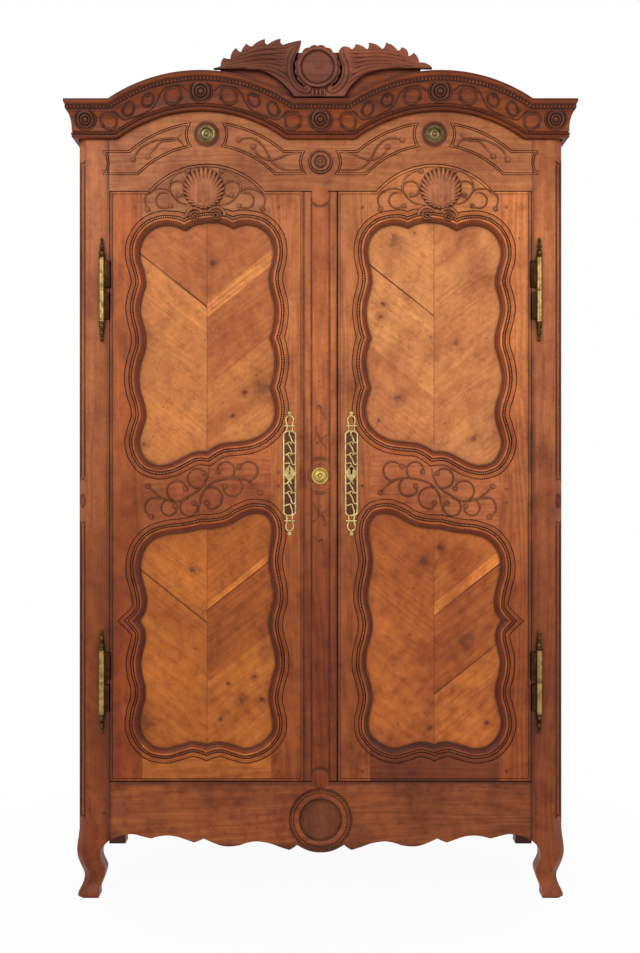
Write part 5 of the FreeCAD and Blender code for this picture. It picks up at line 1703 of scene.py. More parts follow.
@dataclass
class Cornice:
    """Double-arched cornice: its line, its bands of small ornament and the vine in its hollow."""

    half_width: float = 679.0
    projection: float = 35.0
    level: float = 2124.5
    height: float = 104.0
    rise: float = 78.5
    arch_place: float = 333.0
    half_low: float = 237.0
    half_high: float = 256.0
    back: float = 280.0
    hollow: Line = ((0.42, 0.185), (0.42, 0.30), (0.47, 0.44), (0.56, 0.565), (0.67, 0.655), (0.72, 0.685))
    slope_low: Spot = (0.76, 0.72)
    slope_high: Spot = (0.88, 0.865)
    bead_level: Spot = (0.40, 0.125)
    dentil_pitch: float = 10.2
    bead_pitch: float = 7.6
    flowers: Line = ((0.0, 33.0), (349.6, 33.0), (687.0, 31.0))
    ring_places: tuple[Triple, ...] = ((78.0, 0.49, 25.5), (150.0, 0.62, 18.5),
                                                           (209.0, 0.60, 19.0), (272.0, 0.49, 25.0))
    ring_buds: Line = ((56.0, 0.30), (150.0, 0.84), (227.0, 0.66), (292.0, 0.26))
    wave: Line = ((37.0, 0.62), (56.0, 0.92), (88.0, 0.98), (111.0, 0.78), (123.0, 0.45), (142.0, 0.12),
                  (172.0, 0.05), (202.0, 0.10), (228.0, 0.24), (240.0, 0.52), (250.0, 0.84), (272.0, 0.99))
    hollow_height: float = 53.7

    def point(self, share: Spot, run: int, along: float) -> Vector:
        """Point on the cornice.

        Args:
            share: Shares of projection and height.
            run: 0 left return, 1 left end, 2 left arch, 3 middle, 4 right arch, 5 right end, 6 right return.
            along: Share of the run's length, from left to right.

        Returns:
            The point in metres.
        """
        out, up = share
        reach = self.half_width + out * self.projection
        front = FRONT / MM - out * self.projection
        base = self.level + up * self.height
        half = self.half_low + up * (self.half_high - self.half_low)
        if run in (0, 6):
            way = -1 if run == 0 else 1
            share_back = 1 - along if run == 0 else along
            spot = (way * reach, front + share_back * (self.back - front), base)
        elif run in (2, 4):
            radius = (half ** 2 + self.rise ** 2) / (2 * self.rise)
            angle = math.asin(half / radius) * (2 * along - 1)
            middle = self.arch_place * (-1 if run == 2 else 1)
            spot = (middle + radius * math.sin(angle), front,
                    base + self.rise - radius + radius * math.cos(angle))
        else:
            ends = {1: (-reach, -self.arch_place - half), 3: (half - self.arch_place, self.arch_place - half),
                    5: (self.arch_place + half, reach)}[run]
            spot = (ends[0] + along * (ends[1] - ends[0]), front, base)
        return Vector(spot) * MM

    def length(self, share: Spot, run: int) -> float:
        """Length of one run at a level of the profile."""
        points = [self.point(share, run, k / 24) for k in range(25)]
        return sum((b - a).length for a, b in zip(points, points[1:]))

    def places(self, share: Spot, pitch: float, lean: float) -> list[Matrix]:
        """Even places along every run, turned to face out of it.

        Args:
            share: Shares of projection and height.
            pitch: Distance between places in millimetres, rounded to fit.
            lean: Angle that they lean over by.

        Returns:
            The places.
        """
        made = []
        for run in range(7):
            count = max(1, round(self.length(share, run) / (pitch * MM)))
            for k in range(count):
                middle = (k + 0.5) / count
                before, spot, after = (self.point(share, run, middle + step) for step in (-0.002, 0.0, 0.002))
                made.append(self.stand(spot, after - before, run, lean))
        return made

    @staticmethod
    def stand(spot: Vector, ahead: Vector, run: int, lean: float) -> Matrix:
        """Stand a shape made for the front on a run of the cornice.

        Args:
            spot: Where it stands.
            ahead: Direction of the run there.
            run: Number of the run.
            lean: Angle that it leans over by.

        Returns:
            Its place.
        """
        ahead = ahead.normalized()
        inward = Vector((0, 1, 0)) if 0 < run < 6 else Vector((1 if run == 0 else -1, 0, 0))
        turn = Matrix((ahead, inward, ahead.cross(inward))).transposed().to_4x4()
        return Matrix.Translation(spot) @ turn @ Matrix.Rotation(lean, 4, "X")

    def in_hollow(self, spot: Spot) -> Vector:
        """Point in the hollow.

        Args:
            spot: Distance along it from the middle in millimetres, and share across it.

        Returns:
            The point in metres.
        """
        middle = self.hollow_point(0.5)
        left = abs(spot[0]) * MM
        for run in (3, 4, 5):
            start = 0.5 if run == 3 else 0.0
            whole = self.length(middle, run) * (1 - start)
            if left <= whole or run == 5:
                break
            left -= whole
        point = self.point(self.hollow_point(spot[1]), run, start + (1 - start) * left / whole)
        point.x *= 1 if spot[0] >= 0 else -1
        return point

    def hollow_point(self, share: float) -> Spot:
        """Profile at a share of the way up the hollow.

        Args:
            share: Share of the hollow's length.

        Returns:
            Shares of projection and height.
        """
        pairs = list(zip(self.hollow, self.hollow[1:]))
        spans = [math.hypot((b[0] - a[0]) * self.projection, (b[1] - a[1]) * self.height) for a, b in pairs]
        left = min(max(share, 0.0), 1.0) * sum(spans)
        for (a, b), span in zip(pairs, spans):
            if left <= span:
                return (a[0] + (b[0] - a[0]) * left / span, a[1] + (b[1] - a[1]) * left / span)
            left -= span
        return self.hollow[-1]

    def build(self) -> None:
        """Build and dress the cornice."""
        worn_copy("cornice_front", CORNICE, 0.7)
        worn_copy("cornice_returns", replace(CORNICE, name="waxed_cornice_return", grain=Grain.DEEP), 0.7)
        self.bands()
        self.vines()

    def bands(self) -> None:
        """Row of lighter triangles on the sloping band, row of beads under the hollow, and dark strips of
        painted shade behind them.
        """
        share = tuple((a + b) / 2 for a, b in zip(self.slope_low, self.slope_high))
        out = (self.slope_high[0] - self.slope_low[0]) * self.projection
        up = (self.slope_high[1] - self.slope_low[1]) * self.height
        clear()
        sizes = {"radius1": 6.2 * MM, "radius2": 3.6 * MM, "depth": 7.0 * MM}
        bpy.ops.mesh.primitive_cone_add(vertices=3, rotation=FACE_ON, **sizes)
        tooth = added("cornice_tooth")
        tooth.data.transform(Matrix.Diagonal((0.86, 1.0, 1.35, 1.0)))
        bead = half_bead("cornice_bead", 3.8)
        # The triangles are lighter than the cornice: painted light on the teeth.
        bright = replace(CORNICE, name="waxed_cornice_row", tone=(1.2, 1.25, 1.6), groove=0.4)
        teeth = self.places(share, self.dentil_pitch, math.atan2(out, up))
        settle(scattered("cornice_triangles", tooth, teeth), bright)
        row = scattered("cornice_beads", bead, self.places(self.bead_level, self.bead_pitch, 0.0))
        smooth(row, 60)
        settle(row, replace(bright, name="waxed_cornice_bead", tone=(0.80, 0.78, 0.9)))
        discard(tooth, bead)
        # Dark strips behind the triangles and the beads are painted shade; the lip and the top get dimmer
        # strips.
        dark = replace(CORNICE, name="dark_cornice_ground", tone=(0.22, 0.20, 0.24))
        dim = replace(CORNICE, name="dim_cornice_lip", tone=(0.52, 0.48, 0.52))
        for name, low, high, finish in (("slope", (0.772, 0.718), (0.892, 0.861), dark),
                                        ("fillet", (0.382, 0.090), (0.382, 0.160), dark),
                                        ("lip", (0.428, 0.030), (0.428, 0.070), dim),
                                        ("top", (1.006, 0.932), (0.988, 0.996), dim)):
            settle(self.ribbon(f"cornice_{name}", low, high), finish)

    def ribbon(self, name: str, low: Spot, high: Spot, steps: int = 20) -> Piece:
        """Thin strip between two levels of the profile, along the whole cornice.

        Args:
            name: Its name.
            low: Shares of projection and height of its lower edge.
            high: Shares of projection and height of its upper edge.
            steps: Faces along each run.

        Returns:
            The strip as a mesh object.
        """
        build = bmesh.new()
        last = None
        for run in range(7):
            for k in range(steps + 1):
                pair = [build.verts.new(self.point(share, run, k / steps)) for share in (low, high)]
                if last is not None:
                    build.faces.new((last[0], pair[0], pair[1], last[1]))
                last = pair
        bmesh.ops.remove_doubles(build, verts=build.verts, dist=1e-5)
        piece = as_piece(name, build)
        apply_modifier(piece, "SOLIDIFY", thickness=0.3 * MM)
        outward(piece)
        return piece

    def vines(self) -> None:
        """Flowers, rings and wavy stems in the hollow."""
        rings = [(1.0, -0.5), (1.0, 0.10), (0.95, 0.15), (0.88, 0.12), (0.85, 0.02), (0.80, 0.02),
                 (0.76, 0.16), (0.66, 0.19), (0.56, 0.13), (0.53, 0.04), (0.49, 0.05), (0.45, 0.17),
                 (0.34, 0.21), (0.26, 0.12), (0.2, 0.2), (0.0, 0.25)]
        base = lathe("hollow_flower", rings, 28, 1.0)
        places = [self.hollow_place(way * along, radius * MM)
                  for along, radius in self.flowers for way in ((-1, 1) if along else (1,))]
        row = scattered("cornice_flowers", base, places)
        discard(base)
        smooth(row, 50)
        settle(row, replace(CORNICE_CARVED, name="waxed_cornice_flower", tone=(1.5, 1.4, 1.3)))
        stems, buds = [], []
        crown = self.flowers[1][0]
        for way in (-1, 1):
            for place, level, radius in self.ring_places:
                for share, half in ((1.0, 1.8), (0.76, 1.2)):
                    spots = ring_spots(radius * share, 16, (crown + way * place, 0.0))
                    line = tuple((u, level + v / self.hollow_height) for u, v in spots)
                    stems.append(Stem(line, half * MM, closed=True))
            buds += [(crown + way * along, level) for along, level in self.ring_buds]
            stems.append(Stem(tuple((crown + way * along, level) for along, level in self.wave), 2.0 * MM))
        vine = carved_lines("cornice_vine_right", stems, self.in_hollow)
        base = bud_shape(5.0)
        places = [self.hollow_place(along, 1.0, share) for along, share in buds]
        right = joined("cornice_vine_right", vine, scattered("hollow_buds", base, places))
        discard(base)
        smooth(right, 50)
        settle_both(right, CORNICE_CARVED)

    def hollow_place(self, along: float, scale: float, share: float = 0.57) -> Matrix:
        """Place in the hollow, leant with it.

        Args:
            along: Distance along it from the middle in millimetres.
            scale: Scale of what stands there.
            share: Share across the hollow.

        Returns:
            The place.
        """
        spot = self.in_hollow((along, share))
        step = self.in_hollow((along + 2.0, 0.57)) - self.in_hollow((along - 2.0, 0.57))
        rise = self.in_hollow((along, 0.88)) - self.in_hollow((along, 0.22))
        lean = math.atan2(-rise.y, rise.z)
        return self.stand(spot, step, 3, lean) @ Matrix.Scale(scale, 4)


@dataclass
class Crest:
    """Carved crest: board, two toothed wings and the scalloped round in the middle."""

    middle: Spot = (-8.0, 2315.0)
    pearl_ring: float = 44.3
    pearls: int = 52
    bowl_radius: float = 41.5
    bowl_floor: float = 5.0
    left_ribs: tuple[Line, ...] = (
        ((-91, 2371), (-136, 2371), (-183, 2364), (-224, 2348)),
        ((-96, 2356), (-144, 2357), (-195, 2349), (-244, 2332)),
        ((-99, 2339), (-146, 2343), (-198, 2337), (-259, 2323)),
        ((-99, 2321), (-140, 2330), (-191, 2327), (-263, 2317)),
        ((-94, 2300), (-129, 2317), (-176, 2320), (-246, 2314)),
        ((-83, 2275), (-110, 2297), (-146, 2311), (-206, 2313)),
    )
    right_ribs: tuple[Line, ...] = (
        ((80, 2357), (125, 2357), (177, 2358), (219, 2350)),
        ((85, 2344), (127, 2348), (177, 2348), (236, 2336)),
        ((88, 2330), (130, 2337), (181, 2337), (249, 2325)),
        ((87, 2315), (130, 2326), (181, 2328), (259, 2320)),
        ((83, 2296), (121, 2314), (172, 2321), (233, 2317)),
        ((75, 2275), (106, 2296), (147, 2311), (199, 2316)),
    )
    bands: tuple[Line, ...] = (
        ((-64, 2376), (-77, 2355), (-86, 2332), (-87, 2309), (-83, 2287), (-72, 2266), (-54, 2251),
         (-35, 2248), (-30, 2255), (-37, 2260), (-44, 2256)),
        ((62, 2366), (59, 2351), (66, 2333), (72, 2315), (71, 2294), (64, 2273), (48, 2254),
         (32, 2248), (24, 2253), (28, 2259), (35, 2256)),
    )

    def build(self) -> None:
        """Build and dress the crest."""
        worn_copy("crest_board", CREST_BOARD, 1.0)
        worn_copy("crest_medallion", CREST, 1.2)
        for word, ribs, band, tone in (("left", self.left_ribs, self.bands[0], (0.76, 0.73, 0.69)),
                                       ("right", self.right_ribs, self.bands[1], (1.22, 1.20, 1.14))):
            finish = replace(CREST, name=f"waxed_crest_{word}", tone=tone)
            worn_copy(f"crest_{word}_wing", finish, 2.2)
            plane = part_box(f"crest_{word}_wing")[0].y
            stems = [Stem(rib, 7.4 * MM, 0.55) for rib in ribs] + [Stem(band, 7.5 * MM, 0.5)]
            fan = carved_lines(f"crest_ribs_{word}", stems, on_plane(plane))
            settle(pressed(fan, plane, 0.42), finish)
        self.round_middle()

    def round_middle(self) -> None:
        """Pearls round the scalloped disc, a punched middle in its bowl and flutes under it."""
        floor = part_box("crest_medallion")[0].y + self.bowl_floor * MM
        bead = half_bead("crest_bead", 2.5)
        spots = ring_spots(self.pearl_ring, self.pearls, self.middle)
        ring = scattered("crest_pearls", bead, [at(spot, floor) for spot in spots])
        discard(bead)
        middle = punched_disc("crest_middle", self.bowl_radius * MM, 1.0 * MM, 4.5 * MM)
        middle.data.transform(at(self.middle, floor))
        flutes = [Stem(((x, 2234), (x, 2245), (x, 2255)), 5.4 * MM, 0.5) for x in (-22, -11, 0, 11)]
        leaf = carved_lines("crest_leaf", flutes, on_plane(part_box("crest_left_wing")[0].y))
        whole = joined("crest_round", ring, middle, leaf)
        smooth(whole, 60)
        settle(whole, CREST)


@dataclass
class Door:
    """One door: frame, panels and carving, measured on the left door and mirrored for the right one."""

    side: Side
    middle: float = 319.0
    panel_low: float = -511.0
    panel_width: float = 384.0
    upper_span: Spot = (1212.0, 681.5)
    lower_span: Spot = (416.0, 662.0)
    pearl_offset: float = 22.6
    pearl_floor: float = 4.05
    pearl_radius: float = 3.0
    pearl_pitch: float = 6.3
    hinge_edge: float = 589.5
    meeting_edge: float = 48.5
    foot: float = 328.0
    shoulder: float = 1977.5
    arch_middle: float = 1840.7
    arch_radius: float = 212.8
    groove: float = 6.5
    shell: Triple = (1987.0, 1951.0, 58.0)
    shell_rays: int = 26
    upper_runs: tuple[Line, ...] = (
        ((336, 966), (430, 992), (515, 1000), (600, 997), (693, 975)),
        ((693, 975), (790, 991), (880, 980), (938, 956), (974, 923), (986, 886), (977, 836), (957, 791),
         (955, 754), (969, 713), (991, 667), (996, 626), (985, 573), (956, 523)),
        ((956, 523), (985, 482), (999, 425), (985, 365), (958, 318)),
        ((958, 318), (988, 272), (999, 227), (979, 174), (923, 137), (828, 107), (719, 97), (624, 91),
         (562, 78), (500, 56)),
        ((500, 56), (420, 56), (332, 35), (237, 8), (142, 0), (69, 15), (23, 50), (4, 91), (24, 145),
         (50, 194), (42, 252), (13, 305), (0, 355), (18, 425), (49, 486), (49, 540), (23, 602), (11, 645),
         (27, 696), (51, 746), (37, 801), (11, 853), (10, 894), (40, 937), (99, 971), (186, 988),
         (245, 987), (336, 966)),
    )
    lower_runs: tuple[Line, ...] = (
        ((460, 934), (562, 937), (663, 951), (757, 983), (851, 1000), (924, 992), (967, 960), (979, 915),
         (963, 856), (951, 801), (967, 733), (987, 674), (988, 632), (963, 573), (952, 526), (970, 463),
         (996, 403), (999, 348), (973, 289), (951, 217), (966, 162), (983, 116), (977, 77), (931, 39),
         (859, 11), (786, 0), (699, 13), (591, 27), (500, 15)),
        ((500, 15), (402, 28), (301, 14), (192, 0), (105, 11), (41, 46), (7, 94), (17, 156), (44, 209),
         (46, 264), (22, 319), (14, 369), (33, 424), (48, 469), (36, 513), (0, 542)),
        ((0, 542), (40, 573), (58, 623), (40, 687), (14, 746), (16, 801), (49, 852), (112, 889),
         (207, 909), (337, 918), (460, 934)),
    )
    head_vine: Vine = field(default_factory=lambda: Vine(
        (((34, 1940), (67, 1946), (85, 1960), (100, 1979), (118, 1986), (148, 1980), (168, 1960),
          (161, 1929)),
         ((100, 1979), (100, 1993), (93, 2013), (76, 2030), (60, 2036), (47, 2035))),
        (Curl((76, 1984), 23, (74, 1968), -45, 1), Curl((115, 1953), 22, (96, 1938), 120, -1))))
    middle_vine: Vine = field(default_factory=lambda: Vine(
        (((8, 1204), (1, 1175), (-15, 1149), (-46, 1127), (-79, 1111), (-112, 1115), (-138, 1129),
          (-158, 1148), (-164, 1153)),
         ((-23, 1072), (-19, 1105), (-12, 1131), (8, 1157), (34, 1169), (67, 1175), (104, 1173), (129, 1158),
          (151, 1135)),
         ((-112, 1115), (-131, 1118), (-156, 1120), (-171, 1102), (-171, 1083), (-154, 1067)),
         ((104, 1173), (122, 1169), (142, 1190), (137, 1213), (111, 1221), (91, 1208))),
        (Curl((-26, 1175), 27, (-8, 1189), -30, -1), Curl((-83, 1140), 28, (-58, 1146), -80, -1),
         Curl((-105, 1093), 22, (-88, 1097), 90, 1), Curl((-50, 1094), 24, (-35, 1106), 90, 1),
         Curl((14, 1120), 30, (0, 1106), 180, -1), Curl((73, 1151), 26, (52, 1153), 110, -1),
         Curl((54, 1197), 24, (33, 1193), -90, 1))))

    def on_face(self, spot: Spot) -> Vector:
        """Point on the left door's face, from millimetres beside its middle and above the floor."""
        return on_plane(FRONT, -self.middle)(spot)

    def place_piece(self, piece: Piece, finish: Finish) -> None:
        """Settle a piece that was modelled on the left door, mirrored where this is the right one.

        Args:
            piece: The finished piece.
            finish: Finish that it wears.
        """
        name = f"{self.side.word}_door_{piece.name}"
        if self.side is Side.RIGHT:
            model = piece
            piece = mirrored(model, name)
            discard(model)
        piece.name = name
        settle(piece, finish, self.side.door)

    def build(self) -> None:
        """Build and dress the whole door."""
        word, body = self.side.word, self.side.door
        cutter = self.edge_groove()
        stile, rail = STILE, RAIL
        if self.side is Side.RIGHT:
            stile = replace(STILE, name="waxed_upright_right", shift=(0.3, 0.2, 0.5))
            rail = replace(RAIL, name="waxed_level_right", shift=(0.5, 0.1, 0.3))
        for node in ("hinge_stile", "meeting_stile", "top_rail", "bottom_rail", "middle_rail"):
            base = stile if node.endswith("stile") else rail
            finish = replace(base, name=f"{base.name}_{word}_{node}", tone=BOARD_TONES[(self.side, node)])
            worn_copy(f"{word}_door_{node}", finish, 0.5, None if node == "middle_rail" else cutter, body)
        discard(cutter)
        for level, base in (("upper", PANEL), ("lower", LOWER_PANEL)):
            key = (self.side, level)
            left, right = PANEL_BOARDS[key]
            own = {**base.__dict__, "name": f"{word}_{level}_boards", "tone": PANEL_TONES[key]}
            finish = PanelFinish(**own, joint=self.side.value * self.middle * MM, left_boards=left,
                                 right_boards=right, knots=KNOTS[key])
            worn_copy(f"{word}_door_{level}_panel", finish, 0.0, body=body)
        dress_node(f"{word}_door_pegs", PEG)
        self.pearls()
        self.head_carving()
        self.place_piece(self.middle_vine.build("middle_vine", self.on_face, FRONT), CARVED)

    def edge_groove(self) -> Piece:
        """Thin tube along the door's edge, to cut a line into its frame.

        Returns:
            The tube.
        """
        inside = self.groove
        left, right = -self.hinge_edge + inside, -self.meeting_edge - inside
        low, high = self.foot + inside, self.shoulder - inside
        radius = self.arch_radius - inside
        reach = math.sqrt(radius ** 2 - (high - self.arch_middle) ** 2)
        turn = math.degrees(math.atan2(high - self.arch_middle, reach))
        arch = arc_spots((-self.middle, self.arch_middle), radius, turn, 180 - 2 * turn, 25)
        spots = [(left, low), (right, low), (right, high), *arch, (left, high)]
        return tube_loop("door_line", [(-self.side.value * x, z) for x, z in spots], 1.1)

    def pearls(self) -> None:
        """Rows of pearls in the grooves round both panels."""
        bead = half_bead("pearl", self.pearl_radius)
        depth = FRONT + (self.pearl_floor - 0.6) * MM
        finish = replace(CARVED, name="waxed_pearls", dark=rgb(164, 98, 62), middle=rgb(200, 130, 86),
                         light=rgb(222, 156, 110), groove=0.25, outline=0.25, coat=0.0)
        for level, runs, (low, tall) in (("upper", self.upper_runs, self.upper_span),
                                         ("lower", self.lower_runs, self.lower_span)):
            line = PanelLine(runs, (self.panel_low, low), (self.panel_width, tall))
            spots = evenly(line.widened(self.pearl_offset), self.pearl_pitch)
            row = scattered(f"{level}_pearls", bead, [at(spot, depth) for spot in spots])
            smooth(row, 60)
            self.place_piece(row, finish)
        discard(bead)

    def head_carving(self) -> None:
        """Shell, volutes and vines over the upper panel."""
        aside = -4.5 if self.side is Side.LEFT else -10.0
        shell = self.carved_shell()
        shell.data.transform(at((1.8 * aside, 0.0)))
        self.place_piece(shell, replace(CARVED, name="waxed_shell", groove_depth=0.010, outline=0.7))
        stems, humps = [], []
        for way, spot in ((-1, (-29, 1908)), (1, (31, 1911))):
            humps.append(Stem(arc_spots(spot, 24.0, 90 + way * 62, -way * 150, 11), 5.4 * MM, 0.8))
            turns = []
            for k in range(17):
                angle = math.radians(90 - way * (-30 + 38 * k))
                radius = 13.5 * (1 - 0.80 * k / 16)
                turns.append((spot[0] + radius * math.cos(angle), spot[1] + radius * math.sin(angle)))
            stems.append(Stem(tuple(turns), 3.0 * MM, 1.0))
        volutes = pressed(carved_lines("volutes", stems, self.on_face), FRONT, 0.9)
        volutes = joined("volutes", volutes, pressed(carved_lines("humps", humps, self.on_face), FRONT, 0.45))
        right = self.head_vine.build("head_vine_a", self.on_face, FRONT)
        left = self.head_vine.build("head_vine_b", lambda spot: self.on_face((-spot[0], spot[1])), FRONT)
        for piece in (volutes, joined("head_vine", right, left)):
            piece.data.transform(at((aside, 0.0)))
            self.place_piece(piece, CARVED)

    def carved_shell(self) -> Piece:
        """Shell whose rays run from a low middle to a scalloped rim.

        Returns:
            The mesh object.
        """
        level, focus, radius = (value * MM for value in self.shell)
        x = -self.middle * MM
        clear()
        bpy.ops.mesh.primitive_circle_add(vertices=self.shell_rays * 8, radius=radius, fill_type="NGON",
                                          location=(x, FRONT, level), rotation=FACE_ON)
        piece = added("shell")
        with editing(piece):
            bpy.ops.mesh.extrude_region_move(TRANSFORM_OT_translate={"value": (0, -0.2 * MM, 0)})
            share = 1.0
            for new_share in (0.97, 0.92, 0.86, 0.79, 0.71, 0.64, 0.57, 0.50, 0.40, 0.28, 0.16, 0.06):
                bpy.ops.mesh.extrude_region_move(TRANSFORM_OT_translate={"value": (0, -0.02 * MM, 0)})
                ratio = new_share / share
                bpy.ops.transform.resize(value=(ratio, 1, ratio), center_override=(x, 0, focus))
                share = new_share
        for vertex in piece.data.vertices:
            out = Vector((vertex.co.x - x, vertex.co.z - focus))
            if vertex.co.y > FRONT - 0.1 * MM or out.length < 1e-6:
                continue
            lead = out.normalized()
            drop = Vector((0.0, focus - level))
            ahead = -drop.dot(lead) + math.sqrt(drop.dot(lead) ** 2 - drop.dot(drop) + radius ** 2)
            part = out.length / ahead
            rim = drop + lead * ahead
            turn = self.shell_rays * math.atan2(rim.y, rim.x)
            ridge = abs(math.cos(turn / 2))
            lip = max(0.0, (part - 0.57) / 0.43)
            bowl = math.cos(math.pi / 2 * min(1.0, part / 0.57))
            height = 1.6 + 2.4 * bowl + 5.4 * math.sin(0.78 * math.pi * lip) ** 1.4
            height -= 4.2 * lip ** 0.6 * (1 - ridge) + 0.9 * bowl * min(1.0, 2.5 * part) * abs(math.sin(turn))
            vertex.co.y = FRONT - height * MM
            if part > 0.9:
                spread = 1 - 0.055 * (1 - ridge)
                vertex.co.x = x + out.x * spread
                vertex.co.z = focus + out.y * spread
        outward(piece)
        smooth(piece, 45)
        return piece


@dataclass
class MeetingStrip:
    """Strip that covers the gap between the doors, with its carving and brass boss."""

    middle: float = -1.25
    boss_level: float = 1182.0
    sunk: float = 2.0
    panel_half: float = 25.0
    lunettes: tuple[tuple[float, int], ...] = ((1967.0, -1), (333.0, 1))
    lunette_radius: float = 26.0
    vine: Vine = field(default_factory=lambda: Vine(
        (((19, 1257), (2, 1280), (-9, 1300), (-12, 1317)), ((22, 1300), (2, 1285), (-9, 1274)),
         ((-21, 1108), (-6.5, 1082), (8, 1065), (12, 1044)), ((19, 1088), (-4, 1071), (-18, 1054)),
         ((18, 1343), (10, 1352), (2, 1362)), ((-21, 1014), (-15, 1008), (-9, 1000))),
        (Curl((-8, 1371), 9, (-8, 1373), -20, 1), Curl((5, 994), 9.5, (5, 996), 160, -1)), half=2.3, bud=3.4))

    def build(self) -> None:
        """Build and dress the strip."""
        # The strip is darkened along the gap between the doors and beside its sunk panels: painted shade with
        # some soil.
        finish = replace(STILE, name="waxed_strip", sunk=None, shift=(0.1, 0.8, 0.4), foot=rgb(170, 142, 118),
                         tone=(1.0, 0.85, 0.70), grime=(MEETING_GAP, (0, 0.0255, 0.005)))
        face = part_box("meeting_strip")[0].y
        size = (2 * self.panel_half, 2 * self.sunk, 54.0)
        ends = [block("square_end", (self.middle, face / MM, level + way * 27.0), size)
                for level, way in self.lunettes]
        cutter = joined("square_ends", *ends)
        worn_copy("meeting_strip", finish, 0.9, cutter, Body.LEFT_DOOR)
        discard(cutter)
        boss = replace(BOSS_BRASS, name="strip_boss_brass", bright=rgb(192, 160, 84), dull=rgb(146, 115, 54))
        dress_node("meeting_strip_boss", boss)
        self.carving(face + self.sunk * MM, finish)

    def carving(self, plane: float, finish: Finish) -> None:
        """Vine, arcs, pearls and half rounds in the sunk panels.

        Args:
            plane: Depth of the sunk panels.
            finish: Finish of the strip.
        """
        place = on_plane(plane)
        centre = (self.middle, self.boss_level)
        lines = [Stem(arc_spots(centre, radius, 90 * way - 26, 52, 7), 1.5 * MM, 0.8)
                 for way in (1, -1) for radius in (47.0, 52.0)]
        lines.append(Stem(ring_spots(33.0, 15, centre), 3.0 * MM, closed=True))
        bead = half_bead("strip_pearl", 2.2)
        pearls, discs = [], []
        r = self.lunette_radius
        for level, way in self.lunettes:
            centre = (self.middle, level)
            lines.append(Stem(arc_spots(centre, r, 90 * way - 68, 136, 11), 1.8 * MM, 0.8))
            pearls += [at(spot, plane) for spot in arc_spots(centre, r + 5.5, 90 * way - 50, 100, 12)]
            disc = lathe("lunette", [(r, 0.0), (r, 1.6), (r - 0.8, 2.1), (0.0, 2.1)], 40)
            disc.data.transform(at(centre, plane))
            discs.append(disc)
        settle(joined("strip_lunettes", *discs), finish, Body.LEFT_DOOR)
        vine = self.vine.build("strip_vine", place, plane)
        arcs = pressed(carved_lines("strip_arcs", lines, place), plane, 0.9)
        whole = joined("strip_carving", vine, arcs, scattered("strip_pearls", bead, pearls))
        discard(bead)
        settle(whole, CARVED, Body.LEFT_DOOR)


